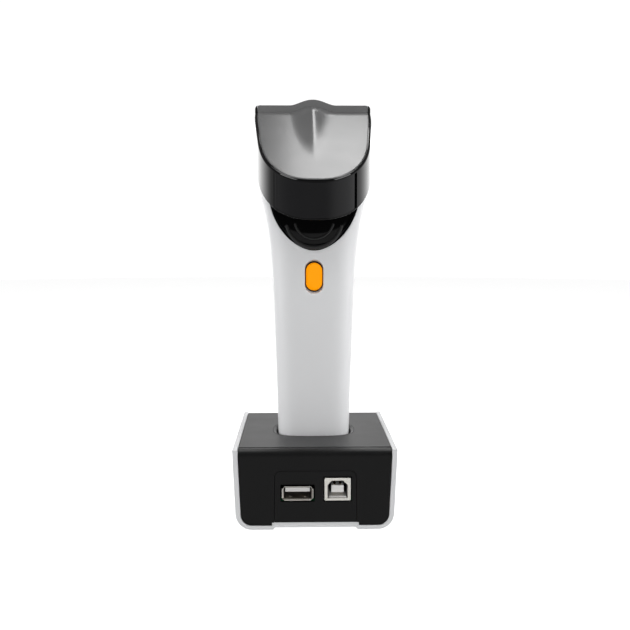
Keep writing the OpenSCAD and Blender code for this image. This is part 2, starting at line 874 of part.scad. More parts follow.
module trigger() {
  color("orange") {
    intersection() {
      translate([0, 0, trigger_z]) along_y(trigger_y - 3, flange_y + 0.5) pill(8, 13.9);
      handle_solid(0.15);
    }
    translate([0, 0, trigger_z]) along_y(flange_y, flange_y + flange_t) pill(10.6, 18);
    rod_y(0, flange_y + 0.5, trigger_z, stem_r, stem_end - flange_y - 0.5);
  }
}

module trigger_guide() {
  color([0.4, 0.4, 0.4]) difference() {
    translate([-9, guide_y, trigger_z - 10]) cube([18, 1.4, 20]);
    rod_y(0, guide_y - 1, trigger_z, stem_r + 0.06, 4);
  }
}

switch_h = 3.4;
plunger_r = 1.7;

module switch_body() {
  color("silver") difference() {
    translate([-3, board_y - switch_h - 0.05, trigger_z - 3]) cube([6, switch_h, 6]);
    rod_y(0, board_y - switch_h - 1, trigger_z, plunger_r + 0.06, 3.6);
  }
}

module switch_plunger() {
  color("black") rod_y(0, stem_end + 0.05, trigger_z, plunger_r, 2.4);
}

cradle_shell();
cradle_cover();
port_panel();
dock_well();
usb_a_shell();
usb_a_tongue();
usb_a_contacts();
usb_b_shell();
usb_b_block();
usb_b_contacts();
port_board();
charge_board();
board_chips();
board_link();
pin_barrels();
charge_pin(0);  // charge_pin_1
charge_pin(1);  // charge_pin_2
charge_pin(2);  // charge_pin_3
charge_pin(3);  // charge_pin_4
ballast_plate();
rubber_pad();
cradle_screws();
front_shell();
rear_shell();
handle_cap();
charge_pads();
shell_screws();
head_shell();
top_panel();
rear_cap();
scan_window();
head_screws();
throat_cover();
beeper();
engine_mount();
engine_body();
engine_lens();
light_lenses();
engine_board();
engine_flex();
main_board();
main_chips();
battery();
trigger();
trigger_guide();
switch_body();
switch_plunger();
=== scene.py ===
"""Looks of a pistol-type barcode scanner standing in its charging cradle. Helpers work in millimetres."""

import json
import math

import bmesh
import bpy
from mathutils import Matrix, Vector


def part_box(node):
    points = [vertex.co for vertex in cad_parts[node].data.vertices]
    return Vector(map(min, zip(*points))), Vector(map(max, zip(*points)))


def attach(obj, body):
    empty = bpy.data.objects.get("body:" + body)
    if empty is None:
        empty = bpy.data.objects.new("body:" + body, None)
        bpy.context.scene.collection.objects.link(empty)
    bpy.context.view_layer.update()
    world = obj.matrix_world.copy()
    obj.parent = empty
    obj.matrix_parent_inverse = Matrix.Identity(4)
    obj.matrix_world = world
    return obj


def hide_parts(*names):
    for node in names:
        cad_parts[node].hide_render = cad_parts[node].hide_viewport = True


MM = 0.001
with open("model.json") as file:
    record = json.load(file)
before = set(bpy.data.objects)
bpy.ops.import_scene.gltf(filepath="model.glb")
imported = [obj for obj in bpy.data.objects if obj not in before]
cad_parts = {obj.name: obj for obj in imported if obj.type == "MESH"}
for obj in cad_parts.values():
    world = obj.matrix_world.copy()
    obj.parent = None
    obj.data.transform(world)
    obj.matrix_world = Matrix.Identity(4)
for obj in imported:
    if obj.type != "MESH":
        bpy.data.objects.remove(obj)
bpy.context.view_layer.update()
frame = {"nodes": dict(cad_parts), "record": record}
nodes = frame["nodes"]


# ---------- dimensions, in millimetres ----------


CORNERS = ((-1, -1), (1, -1), (1, 1), (-1, 1))


def box_mm(node):
    lo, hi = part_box(node)
    return [v / MM for v in lo], [v / MM for v in hi]


SHELL_LO, SHELL_HI = box_mm("cradle_shell")
COVER_LO, COVER_HI = box_mm("cradle_cover")
DOOR_LO, DOOR_HI = box_mm("port_panel")
WELL_LO, WELL_HI = box_mm("dock_well")
USB_A_LO, USB_A_HI = box_mm("usb_a_shell")
USB_B_LO, USB_B_HI = box_mm("usb_b_shell")
TRIGGER_LO, TRIGGER_HI = box_mm("trigger")

CRADLE_H = COVER_HI[2]
HALF_W = SHELL_HI[0]
HALF_D = SHELL_HI[1]
LEAN = math.tan(math.radians(2.7))
SIDE_WALL = 2.4
FLOOR_TOP = 2.2
NOTCH_H = 1.4
NOTCH_DEPTH = 12
CORNER_R = 7.5
CREASE_R = 4
COVER_WALL = 2.2
DOOR_X = (DOOR_LO[0] + DOOR_HI[0]) / 2
DOOR_HALF = 18.4
DOOR_TOP = DOOR_HI[2]
DOOR_CORNER_R = 2.8
PAD_CORNER_R = 5
POST_R = 3
CRADLE_SCREWS = [(x, y) for x in (-25, 25) for y in (-14, 14)]

WELL_HALF_W = 18.2
WELL_HALF_D = 14.5
WELL_FLOOR = 12.2
PIN_X = (-6, -2, 2, 6)
PIN_BORE_R = 0.95

USB_A = [(USB_A_LO[0] + USB_A_HI[0]) / 2, 17.1]
USB_B = [(USB_B_LO[0] + USB_B_HI[0]) / 2, 18.9]
USB_A_SHEET_W = 13.1
USB_A_SHEET_H = 5.72
USB_B_FACE_W = 12.04
USB_B_FACE_H = 10.5
USB_B_MOUTH_W = 8.9
USB_B_MOUTH_H = 7.78
USB_B_MOUTH_CUT = 1.9
SOCKET_FACE_H = {"usb_a_shell": 6.9, "usb_b_shell": USB_B_FACE_H}

HANDLE_HALF_W = 17.5
HANDLE_HALF_D = 14
SIDE_GROWTH = 0.0328
SIDE_FLARE = 2.94e-5
SIDE_FLARE_Z = 100
NECK_Z = 150
NECK_GROWTH = 0.2
NECK_ROUNDING = 0.0025
DEPTH_GROWTH = 0.036
DEPTH_FLARE_Z = 105
FRONT_FLARE = 0.000137
FRONT_FLARE_END = NECK_Z + 2
BACK_FLARE = 0.0000352
BACK_FLARE_END = 183
FRONT_POWER = 3.2
BACK_POWER = 2.6
SPLIT_Y = 2
SHELL_WALL = 2.2
CAP_TOP = 16
SHELL_SCREW_Z = (26, 97)
SCREW_SINK = 5
PILOT_R = 1.25
CABLE_HOLE = ((-6, -8, 130), (6, 3, 200))
TRIGGER_Z = (TRIGGER_LO[2] + TRIGGER_HI[2]) / 2
HOLE_Z = TRIGGER_Z + 0.35
CAP_Z = TRIGGER_Z + 0.55
CAP_SIZE = (7.8, 13.3)
HOLE_SIZE = (8.8, 16.2)
FLANGE_SIZE = (10.6, 18)
FLANGE_T = 1

SLOPE = 0.51
NOSE_Y = 58
NOSE_START = 15
NOSE_POWER = 2.75
TAIL_POWER = 2.5
END_ROUND = 0.4
NOSE_Z = 157.1
LIP_Y = 22
HEAD_BACK = 38
BAND_H = 16.9
PANEL_HALF_W = 29.4
TAPER = 0.105
BOW_START = 5
BOW = 0.0028
RIM_W = 1.3
LIP_H = 3.4
RIDGE_HALF = 12
RIDGE_END_HALF = 3.5
RIDGE_END = -42
CREST_ROUND = 0.12
RIDGE_H = 3
CAP_DROOP = 2.5
CAP_DROOP_START = 4
CAP_DROOP_LENGTH = 12
CREST_FADE = 16
SHARP_FADE = 9
CAP_SEAT = box_mm("rear_cap")[0][2]
PANEL_T = 1.6
WINDOW_HALF = 18
WINDOW_LOW = 0.5
WINDOW_HIGH = BAND_H - 1.2
WINDOW_EDGE = 0.12
WINDOW_LINE_X = -16.6
WINDOW_LINE = 0.2
WINDOW_STRIP_X = 16.8
WINDOW_STRIP_DEPTH = 1.25
SIDE_POINTS = 110
BACK_POINTS = 44
DECK_SCREWS = [(s * x, y) for x, y in ((12, -9), (12, 16)) for s in (-1, 1)]

THROAT_TOP_Z = 152
THROAT_W = 21.2
THROAT_H = 25.6
THROAT_POWER = 1.8
THROAT_BACK = -17.2
THROAT_LEAN = 0.09
ARC_Z = 141.2
ARC_HEIGHT = 1.3
ARC_SWEEP = 80


def clamp01(t):
    return min(1.0, max(0.0, t))


def ease(t):
    t = clamp01(t)
    return t * t * (3 - 2 * t)


def signed_pow(v, p):
    return math.copysign(abs(v) ** p, v)


def flare_w(z):
    return HANDLE_HALF_W + SIDE_GROWTH * (z - CRADLE_H) + SIDE_FLARE * max(0, z - SIDE_FLARE_Z) ** 3


def half_w(z):
    if z < NECK_Z:
        return flare_w(z)
    u = z - NECK_Z
    return flare_w(NECK_Z) + NECK_GROWTH * u - NECK_ROUNDING * u * u


def depth_of(z, flare, end):
    return HANDLE_HALF_D + DEPTH_GROWTH * (z - CRADLE_H) + flare * max(0, min(z, end) - DEPTH_FLARE_Z) ** 3


def front_of(z):
    return depth_of(z, FRONT_FLARE, FRONT_FLARE_END)


def back_of(z):
    return depth_of(z, BACK_FLARE, BACK_FLARE_END)


def panel_z(y):
    return NOSE_Z + SLOPE * (y + NOSE_Y)


def belly_z(y):
    return panel_z(y) - BAND_H


def nose_tip(g):
    """How far forward the outline reaches when it is widened by g."""
    return NOSE_Y + 0.8 * g


def nose_round(y, g):
    t = clamp01((-NOSE_START - y) / (nose_tip(g) - NOSE_START))
    return max(0.0, 1 - t**NOSE_POWER) ** END_ROUND


def side_w(y, g):
    return PANEL_HALF_W + g - TAPER * (LIP_Y - y) - BOW * max(0, y - BOW_START) ** 2


def outline_w(y, g):
    return side_w(y, g) * nose_round(y, g)


def back_w(y, g):
    t = clamp01((y - LIP_Y) / (HEAD_BACK + g - LIP_Y))
    return side_w(y, g) * max(0.0, 1 - t**TAIL_POWER) ** END_ROUND


def cap_z(y):
    return panel_z(LIP_Y) + LIP_H - CAP_DROOP * ease((y - LIP_Y - CAP_DROOP_START) / CAP_DROOP_LENGTH)


def crest(x, half=RIDGE_HALF):
    """Height of the ridge across the lip: a rounded top with hollow flanks."""
    u = min(1.0, abs(x) / half)
    return RIDGE_H * (1 - u * u) ** 2


def sharp_crest(x, half):
    """Height of the ridge across the panel: hollow flanks that meet in a narrow top."""
    u = min(1.0, abs(x) / half)
    v = (math.sqrt(u * u + CREST_ROUND**2) - CREST_ROUND) / (math.sqrt(1 + CREST_ROUND**2) - CREST_ROUND)
    return RIDGE_H * (1 - v) ** 2


def ridge(x, y):
    """Highest and widest at the lip, narrow where it fades out before the nose."""
    along = ease((y - RIDGE_END) / (LIP_Y - RIDGE_END))
    half = RIDGE_END_HALF + (RIDGE_HALF - RIDGE_END_HALF) * math.sqrt(along)
    sharp = ease((LIP_Y - y) / SHARP_FADE)
    return ((1 - sharp) * crest(x, half) + sharp * sharp_crest(x, half)) * along


# ---------- meshes ----------


def add(name, data):
    obj = bpy.data.objects.new(name, data)
    bpy.context.scene.collection.objects.link(obj)
    return obj


def new_object(name, points, faces):
    mesh = bpy.data.meshes.new(name)
    mesh.from_pydata([[c * MM for c in p] for p in points], [], faces)
    bm = bmesh.new()
    bm.from_mesh(mesh)
    bmesh.ops.remove_doubles(bm, verts=bm.verts, dist=1e-7)
    bmesh.ops.recalc_face_normals(bm, faces=bm.faces)
    bm.to_mesh(mesh)
    bm.free()
    return add(name, mesh)


def skin(name, rings, cyclic=False):
    """Closed body through rings that all have the same number of points."""
    n = len(rings[0])
    points = [p for ring in rings for p in ring]
    faces = []
    for j in range(len(rings) if cyclic else len(rings) - 1):
        a = j * n
        b = ((j + 1) % len(rings)) * n
        for i in range(n):
            k = (i + 1) % n
            faces.append((a + i, b + i, b + k, a + k))
    if not cyclic:
        faces.append(tuple(range(n)))
        faces.append(tuple((len(rings) - 1) * n + i for i in range(n - 1, -1, -1)))
    return new_object(name, points, faces)


def prism(name, outline, axis, a, b):
    """Runs a closed 2-D outline along an axis. Its points hold the other two coordinates, in order."""

    def place(p, t):
        return {"x": (t, p[0], p[1]), "y": (p[0], t, p[1]), "z": (p[0], p[1], t)}[axis]

    return skin(name, [[place(p, a) for p in outline], [place(p, b) for p in outline]])


def cuboid(name, lo, hi):
    outline = [(lo[0], lo[1]), (hi[0], lo[1]), (hi[0], hi[1]), (lo[0], hi[1])]
    return prism(name, outline, "z", lo[2], hi[2])


def bake(obj):
    """Turns an object's modifiers into its mesh."""
    bpy.context.view_layer.update()
    graph = bpy.context.evaluated_depsgraph_get()
    mesh = bpy.data.meshes.new_from_object(obj.evaluated_get(graph), depsgraph=graph)
    obj.modifiers.clear()
    old = obj.data
    obj.data = mesh
    bpy.data.meshes.remove(old)
    mesh.name = obj.name


def combine(obj, others, operation):
    """Cuts obj by others, adds them to it, or keeps what they share. The others are used up."""
    for other in others:
        step = obj.modifiers.new("step", "BOOLEAN")
        step.operation = operation
        step.solver = "MANIFOLD"
        step.object = other
        bake(obj)
        bpy.data.objects.remove(other)
    return obj


def cut(obj, *others):
    return combine(obj, others, "DIFFERENCE")


def unite(obj, *others):
    return combine(obj, others, "UNION")


def keep(obj, *others):
    return combine(obj, others, "INTERSECT")


def bevel(obj, width, segments=2, angle=35):
    step = obj.modifiers.new("edges", "BEVEL")
    step.width = width * MM
    step.segments = segments
    step.limit_method = "ANGLE"
    step.angle_limit = math.radians(angle)
    return obj


def tidy_mesh(obj):
    bm = bmesh.new()
    bm.from_mesh(obj.data)
    bmesh.ops.remove_doubles(bm, verts=bm.verts, dist=2e-7)
    bmesh.ops.dissolve_degenerate(bm, edges=bm.edges, dist=2e-7)
    # A corner that only two faces share would leave a folded pair of triangles between them
    bmesh.ops.dissolve_verts(bm, verts=[v for v in bm.verts if len(v.link_edges) == 2])
    bmesh.ops.recalc_face_normals(bm, faces=bm.faces)
    bm.to_mesh(obj.data)
    bm.free()


def finish_piece(obj, body, slot, *replaced, angle=32):
    """Smooth faces with sharp edges kept, the slot's material, and the body it rides on."""
    tidy_mesh(obj)
    for face in obj.data.polygons:
        face.use_smooth = True
    obj.data.set_sharp_from_angle(angle=math.radians(angle))
    weighted = obj.modifiers.new("normals", "WEIGHTED_NORMAL")
    weighted.keep_sharp = True
    weighted.mode = "FACE_AREA"
    obj.data.materials.clear()
    obj.data.materials.append(MATERIALS[slot])
    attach(obj, body)
    if replaced:
        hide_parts(*replaced)


def paint_front_sheen(obj):
    """Painted highlight: a lighter, mostly matt copy of the nickel on the faces of a socket that look
    forward, where the light falls.
    """
    obj.data.materials.append(FRONT_SHEEN_FINISH)
    for face in obj.data.polygons:
        if face.normal.y < -0.72:
            face.material_index = 1


def arc(cx, cy, r, a0, a1, steps=10):
    turn = [math.radians(a0 + (a1 - a0) * i / steps) for i in range(steps + 1)]
    return [(cx + r * math.cos(t), cy + r * math.sin(t)) for t in turn]


def circle(cx, cy, r, steps):
    return arc(cx, cy, r, 0, 360, steps)[:-1]


def rounded_rectangle(cx, cy, a, b, r, steps=10):
    """Rectangle with round corners; a and b are its half sizes."""
    a -= r
    b -= r
    corners = ((cx + a, cy + b), (cx - a, cy + b), (cx - a, cy - b), (cx + a, cy - b))
    return [p for k, (x, y) in enumerate(corners) for p in arc(x, y, r, 90 * k, 90 * k + 90, steps)]


def drill(obj, x, y, r, a, b, steps=20, axis="z"):
    """Bores a round hole along an axis from a to b."""
    cut(obj, prism("bore", circle(x, y, r, steps), axis, a, b))


def pill(w, h, cz):
    r = w / 2
    s = (h - w) / 2
    return arc(0, cz + s, r, 0, 180, 16) + arc(0, cz - s, r, 180, 360, 16)


def resample(points, count, closed=True):
    """Evenly spaced points along a polyline."""
    line = points + [points[0]] if closed else points
    lengths = [0.0]
    for a, b in zip(line, line[1:]):
        lengths.append(lengths[-1] + math.dist(a, b))
    total = lengths[-1]
    made = []
    k = 0
    for i in range(count):
        s = total * i / (count if closed else count - 1)
        while k < len(line) - 2 and lengths[k + 1] < s:
            k += 1
        t = (s - lengths[k]) / max(1e-9, lengths[k + 1] - lengths[k])
        made.append(tuple(a + (b - a) * clamp01(t) for a, b in zip(line[k], line[k + 1])))
    return made


def superellipse(w, front, back, count=176):
    """Rounded cross-section with its own depth in front (-Y) and behind, evenly spaced round."""
    raw = []
    for i in range(1440):
        t = 2 * math.pi * i / 1440
        p = FRONT_POWER if math.sin(t) < 0 else BACK_POWER
        depth = front if math.sin(t) < 0 else back
        raw.append((w * signed_pow(math.cos(t), 2 / p), depth * signed_pow(math.sin(t), 2 / p)))
    return resample(raw, count)


# ---------- materials ----------


def material(
    name, colour, roughness, metallic=0.0, coat=0.0, specular=0.5, grain=0.0, grain_size=0.4,
    mottle=0.03, mottle_size=30.0, rough_spread=0.04, transmission=0.0, scratches=0.0,
):
    """A finish whose colour wanders a little, with uneven polish and fine grain or scratches in relief."""
    mat = bpy.data.materials.new(name)
    mat.use_nodes = True
    mat.diffuse_color = (*colour, 1)
    tree = mat.node_tree
    link = tree.links.new
    shader = tree.nodes["Principled BSDF"]
    shader.inputs["Metallic"].default_value = metallic
    shader.inputs["Specular IOR Level"].default_value = specular
    shader.inputs["Coat Weight"].default_value = coat
    shader.inputs["Coat Roughness"].default_value = 0.1
    shader.inputs["Transmission Weight"].default_value = transmission
    coords = tree.nodes.new("ShaderNodeTexCoord")

    def noise(size_mm, detail):
        made = tree.nodes.new("ShaderNodeTexNoise")
        made.inputs["Scale"].default_value = 1 / (size_mm * MM)
        made.inputs["Detail"].default_value = detail
        link(coords.outputs["Object"], made.inputs["Vector"])
        return made

    patches = noise(mottle_size, 3)
    ramp = tree.nodes.new("ShaderNodeValToRGB")
    ramp.color_ramp.elements[0].position = 0.3
    ramp.color_ramp.elements[1].position = 0.7
    ramp.color_ramp.elements[0].color = (*[c * (1 - mottle) for c in colour], 1)
    ramp.color_ramp.elements[1].color = (*[min(1, c * (1 + mottle)) for c in colour], 1)
    link(patches.outputs["Fac"], ramp.inputs["Fac"])
    link(ramp.outputs["Color"], shader.inputs["Base Color"])

    polish = noise(mottle_size * 0.4, 4)
    spread = tree.nodes.new("ShaderNodeMapRange")
    spread.inputs["To Min"].default_value = max(0.0, roughness - rough_spread)
    spread.inputs["To Max"].default_value = roughness + rough_spread
    link(polish.outputs["Fac"], spread.inputs["Value"])
    link(spread.outputs["Result"], shader.inputs["Roughness"])

    if grain or scratches:
        bump = tree.nodes.new("ShaderNodeBump")
        bump.inputs["Strength"].default_value = 1.0
        bump.inputs["Distance"].default_value = max(grain, scratches) * MM
        source = noise(grain_size, 2)
        if scratches:
            stretch = tree.nodes.new("ShaderNodeMapping")
            stretch.inputs["Scale"].default_value = (1, 1, 14)
            link(coords.outputs["Object"], stretch.inputs["Vector"])
            link(stretch.outputs["Vector"], source.inputs["Vector"])
        link(source.outputs["Fac"], bump.inputs["Height"])
        link(bump.outputs["Normal"], shader.inputs["Normal"])
    return mat


def brighten(mat, colour, strength):
    """Adds a weak emission, for a surface that comes out duller than in the photograph."""
    shader = mat.node_tree.nodes["Principled BSDF"]
    shader.inputs["Emission Color"].default_value = (*colour, 1)
    shader.inputs["Emission Strength"].default_value = strength


MATERIALS = {
    "white_plastic": material(
        "white_plastic_satin", (0.83, 0.835, 0.845), 0.3, grain=0.004, grain_size=0.35, mottle=0.008
    ),
    "black_satin": material(
        "black_plastic_satin", (0.003, 0.003, 0.0032), 0.35, grain=0.006, grain_size=0.3, mottle=0.12
    ),
    "black_gloss": material(
        "black_plastic_gloss", (0.003, 0.003, 0.0033), 0.05, rough_spread=0.015, mottle=0.1
    ),
    "grey_satin": material(
        "grey_plastic_satin", (0.13, 0.13, 0.131), 0.25, grain=0.005, grain_size=0.25, mottle=0.02
    ),
    "grey_plastic": material("grey_plastic_moulded", (0.1, 0.1, 0.1), 0.5, grain=0.01, grain_size=0.4),
    "orange_plastic": material(
        "orange_plastic_satin", (1.0, 0.36, 0.0), 0.36,
        specular=0.08, grain=0.004, grain_size=0.3, mottle=0.015,
    ),
    "window_glass": material("window_dark", (0.004, 0.004, 0.005), 0.09, rough_spread=0.01, mottle=0.1),
    "lens_glass": material("lens_clear", (0.8, 0.85, 0.9), 0.04, transmission=0.7, rough_spread=0.01),
    "socket_metal": material(
        "socket_nickel", (0.93, 0.9, 0.85), 0.3, metallic=1.0, scratches=0.003, grain_size=0.5, mottle=0.04
    ),
    "gold_contacts": material("contact_gold", (0.83, 0.6, 0.24), 0.25, metallic=1.0, mottle=0.05),
    "dark_insulator": material("insulator_dark", (0.02, 0.02, 0.02), 0.45, grain=0.006, grain_size=0.2),
    "pale_insulator": material("insulator_pale", (0.86, 0.85, 0.83), 0.4, grain=0.005, grain_size=0.2),
    "circuit_board": material(
        "board_green", (0.012, 0.12, 0.05), 0.3,
        coat=0.4, mottle=0.2, mottle_size=4, grain=0.01, grain_size=0.8,
    ),
    "flex_film": material("flex_amber", (0.5, 0.2, 0.04), 0.25, coat=0.5, mottle=0.1, mottle_size=3),
    "battery_wrap": material("battery_film", (0.05, 0.16, 0.4), 0.25, coat=0.3, mottle=0.06, grain=0.01),
    "rubber": material("rubber_pad_mat", (0.02, 0.02, 0.02), 0.8, grain=0.03, grain_size=0.5, mottle=0.2),
    "screw_steel": material(
        "screw_plated", (0.55, 0.55, 0.54), 0.3, metallic=1.0, scratches=0.004, grain_size=0.6, mottle=0.06
    ),
    "ballast_steel": material(
        "ballast_primer", (0.2, 0.21, 0.22), 0.55, metallic=0.3, grain=0.01, grain_size=0.6
    ),
}


# Painted light: a weak orange glow stands in for light that the trigger's face does not get.
brighten(MATERIALS["orange_plastic"], (1.0, 0.3, 0.0), 0.36)
# Painted highlight: a lighter, mostly matt copy of the socket nickel for the faces that look forward.
FRONT_SHEEN_FINISH = material("socket_nickel_painted_sheen", (1.0, 0.96, 0.89), 0.35, metallic=0.3)
# Painted highlight: a lighter black on the throat's raised arcs stands in for the thin highlights along
# their edges.
ARC_HIGHLIGHT_FINISH = material("black_arc_painted_highlight", (0.03, 0.03, 0.03), 0.22)
# Painted light: a lighter copy of the panel's grey satin, so the cap's lip, which faces the dim front, comes
# out lighter.
CAP_LIGHTENED_FINISH = material(
    "grey_cap_painted_light", (0.158, 0.158, 0.159), 0.3, grain=0.005, grain_size=0.25, mottle=0.02
)


# ---------- cradle ----------


def side_x(z, inset):
    return HALF_W - LEAN * (CRADLE_H - z) - inset


def cradle_outline(inset, z0, top):
    """The cradle seen from the front: leaning sides and round bottom corners."""
    r = CORNER_R - inset
    cx = side_x(z0 + r, inset) - r
    ends = [(side_x(top, inset), top), (-side_x(top, inset), top)]
    return ends + arc(-cx, z0 + r, r, 180, 270, 14) + arc(cx, z0 + r, r, 270, 360, 14)


def make_cradle_shell():
    bottom = SHELL_LO[2]
    top = SHELL_HI[2]
    outer = cradle_outline(0, bottom, top)
    inner = cradle_outline(SIDE_WALL, FLOOR_TOP, top)
    # One U-shaped strip: outside from the left top round to the right top, then back along the inside
    strip = outer[1:] + [outer[0]] + [inner[0]] + inner[:1:-1] + [inner[1]]
    shell = prism("cradle_side_shell", strip, "y", -HALF_D, HALF_D)
    bake(bevel(shell, 0.45, 3, 50))
    notch = DOOR_HALF + 0.3
    back = -HALF_D + NOTCH_DEPTH
    lo = (DOOR_X - notch - 1, -HALF_D + 0.35, 1)
    hi = (DOOR_X + notch + 1, back + 2, FLOOR_TOP + NOTCH_H)
    unite(shell, cuboid("raised", lo, hi))
    slanted = [
        (DOOR_X - notch - 0.8, -1),
        (DOOR_X + notch + 0.8, -1),
        (DOOR_X + notch + 0.5, bottom),
        (DOOR_X + notch - 0.4, NOTCH_H),
        (DOOR_X - notch + 0.4, NOTCH_H),
        (DOOR_X - notch - 0.5, bottom),
    ]
    cut(shell, prism("notch", slanted, "y", -HALF_D - 1, back))
    pad = box_mm("rubber_pad")[1]
    pocket = rounded_rectangle(0, 0, pad[0] + 0.05, pad[1] + 0.05, PAD_CORNER_R)
    cut(shell, prism("pocket", pocket, "z", -1, bottom + 0.7))
    for x, y in CRADLE_SCREWS:
        drill(shell, x, y, POST_R, -1, 1.3, 32)
        drill(shell, x, y, 1.5, -1, 5, 24)
    finish_piece(shell, "cradle", "white_plastic", "cradle_shell")


def door_outline(g):
    r = DOOR_CORNER_R + g
    half = DOOR_HALF + g
    foot = DOOR_LO[2] - g
    line = [(DOOR_X + half + 0.3, foot)]
    line += arc(DOOR_X + half - r, DOOR_TOP + g - r, r, 0, 90)
    line += arc(DOOR_X - half + r, DOOR_TOP + g - r, r, 90, 180)
    return line + [(DOOR_X - half - 0.3, foot)]


def saddle(inset, bottom):
    """Side outline of the cover's outside or inside, with its rounded top edges."""
    d = HALF_D - inset
    h = CRADLE_H - inset
    r = CREASE_R - inset
    line = [(-d, bottom)] + arc(-d + r, h - r, r, 180, 90, 14) + arc(d - r, h - r, r, 90, 0, 14)
    return line + [(d, bottom)]


def oval(w, d, z):
    return [(x, y, z) for x, y in superellipse(w, d, d, 120)]


def make_cradle_cover():
    bottom = COVER_LO[2]
    outside = cradle_outline(SIDE_WALL + 0.12, bottom, CRADLE_H)
    cover = prism("cradle_top_cover", saddle(0, bottom), "x", -HALF_W, HALF_W)
    keep(cover, prism("between", outside, "y", -HALF_D - 1, HALF_D + 1))
    bake(bevel(cover, 0.3, 2, 60))
    cut(cover, prism("hollow", saddle(COVER_WALL, bottom - 1), "x", -HALF_W, HALF_W))
    cut(cover, prism("door_hole", door_outline(0.16), "y", -HALF_D - 1, -HALF_D + COVER_WALL + 1))
    # Groove where the flat top meets the rounded front edge
    groove_y = -HALF_D + CREASE_R
    lo, hi = (-HALF_W, groove_y - 0.1, CRADLE_H - 0.42), (HALF_W, groove_y + 0.9, CRADLE_H + 1)
    cut(cover, cuboid("groove", lo, hi))
    notch = DOOR_HALF + 1.35
    lo, hi = (DOOR_X - notch, -HALF_D - 1, bottom - 1), (DOOR_X + notch, 0, bottom + NOTCH_H)
    cut(cover, cuboid("notch", lo, hi))
    ring_w, ring_d = WELL_HI[0] + 0.05, WELL_HI[1] + 0.05
    cut(cover, skin("well_hole", [oval(ring_w, ring_d, CRADLE_H - 10), oval(ring_w, ring_d, CRADLE_H + 10)]))
    for x, y in CRADLE_SCREWS:
        post = prism("post", circle(x, y, POST_R, 32), "z", bottom, CRADLE_H - 1)
        drill(post, x, y, 1.3, bottom - 1, bottom + 13, 24)
        unite(cover, post)
    finish_piece(cover, "cradle", "black_satin", "cradle_cover")


def make_port_panel():
    front = DOOR_LO[1]
    panel = prism("port_door", door_outline(0), "y", front, DOOR_HI[1])
    for (x, z), node in ((USB_A, "usb_a_shell"), (USB_B, "usb_b_shell")):
        lo, hi = box_mm(node)
        w = (hi[0] - lo[0]) / 2 + 0.4
        h = SOCKET_FACE_H[node] / 2 + 0.45
        hole = rounded_rectangle(x, z, w, h, 0.5, 4)
        cut(panel, prism("hole", hole, "y", front - 1, DOOR_HI[1] + 1))
    bake(bevel(panel, 0.14, 2, 50))
    finish_piece(panel, "cradle", "black_satin", "port_panel")


def make_dock_well():
    top = WELL_HI[2]
    w, d = WELL_HI[0], WELL_HI[1]
    rings = [oval(w, d, WELL_LO[2]), oval(w, d, top - 0.25)]
    rings += [oval(w - 0.08, d - 0.05, top - 0.07), oval(w - 0.25, d - 0.12, top)]
    lip_w, lip_d = WELL_HALF_W + 1.5, WELL_HALF_D + 0.42
    rings += [oval(lip_w, lip_d, top), oval(lip_w - 0.18, lip_d - 0.1, top - 0.06)]
    for i in range(1, 7):
        t = math.radians(15 * i)
        across, down = math.sin(t), 1 - math.cos(t)
        rings.append(oval(lip_w - 0.2 - 1.3 * across, lip_d - 0.12 - 0.3 * across, top - 0.1 - 1.4 * down))
    for inset, level in ((0, 0.8), (0.2, 0.2), (0.8, 0)):
        rings.append(oval(WELL_HALF_W - inset, WELL_HALF_D - inset, WELL_FLOOR + level))
    well = skin("dock_well_bowl", rings)
    for x in PIN_X:
        drill(well, x, 0, PIN_BORE_R, WELL_LO[2] - 1, WELL_FLOOR + 1, 24)
    finish_piece(well, "cradle", "black_satin", "dock_well")


def chamfered(w, h, c, cx, cz):
    """Rectangle with its corners cut by c, as eight points."""
    a, b = w / 2, h / 2
    line = [(a - c, b), (c - a, b), (-a, b - c), (-a, c - b)]
    line += [(c - a, -b), (a - c, -b), (a, c - b), (a, b - c)]
    return [(cx + x, cz + z) for x, z in line]


def rounded_corners(line, r, steps=3):
    """Rounds every corner of a closed 2-D outline."""
    made = []
    n = len(line)
    for i, p in enumerate(line):
        p, q, s = Vector(p), Vector(line[i - 1]), Vector(line[(i + 1) % n])
        a, b = (q - p), (s - p)
        cut_back = min(r, a.length * 0.45, b.length * 0.45)
        a, b = p + a.normalized() * cut_back, p + b.normalized() * cut_back
        for k in range(steps + 1):
            t = k / steps
            made.append(tuple((1 - t) ** 2 * a + 2 * t * (1 - t) * p + t * t * b))
    return made


def make_usb_a():
    x, z = USB_A
    y0 = USB_A_LO[1]
    y1 = USB_A_HI[1]

    def ring(w, h, c, y):
        return [(px, y, pz) for px, pz in rounded_corners(chamfered(w, h, c, x, z), 0.25)]

    # A bent sheet: outside from the back to the flared lip, then the inside to the back again
    sheet, opening = (USB_A_SHEET_W, USB_A_SHEET_H, 0.35), (12.5, 5.12, 0.2)
    lip = (
        (13.5, 6.1, 0.7, 0.5),
        (14.12, 6.42, 1.2, 0.12),
        (14.2, 6.5, 1.25, 0.05),
        (14.1, 6.4, 1.22, 0),
        (13.9, 6.25, 1.1, 0.02),
        (13.3, 5.9, 0.75, 0.32),
        (12.6, 5.24, 0.3, 0.7),
    )
    rings = [ring(*sheet, y1), ring(*sheet, y0 + 0.9)]
    rings += [ring(w, h, c, y0 + depth) for w, h, c, depth in lip]
    rings += [ring(*opening, y0 + 1.1), ring(*opening, y1)]
    shell = skin("usb_a_mouth", rings, cyclic=True)
    for s in (-1, 1):
        # Spring dimples pressed into the sheet's lower side, and the two legs that stand on the board
        dimple = new_dome("dimple", (x + s * 3.3, y0 + 4.2, z - 2.56), 0.85, 0.28)
        unite(shell, dimple)
        leg_x = x + s * (USB_A_SHEET_W / 2 - 0.4)
        unite(shell, cuboid("leg", (leg_x - 0.35, -29.5, USB_A_LO[2]), (leg_x + 0.35, -26.6, z - 2.6)))
    finish_piece(shell, "cradle", "socket_metal", "usb_a_shell")
    paint_front_sheen(shell)


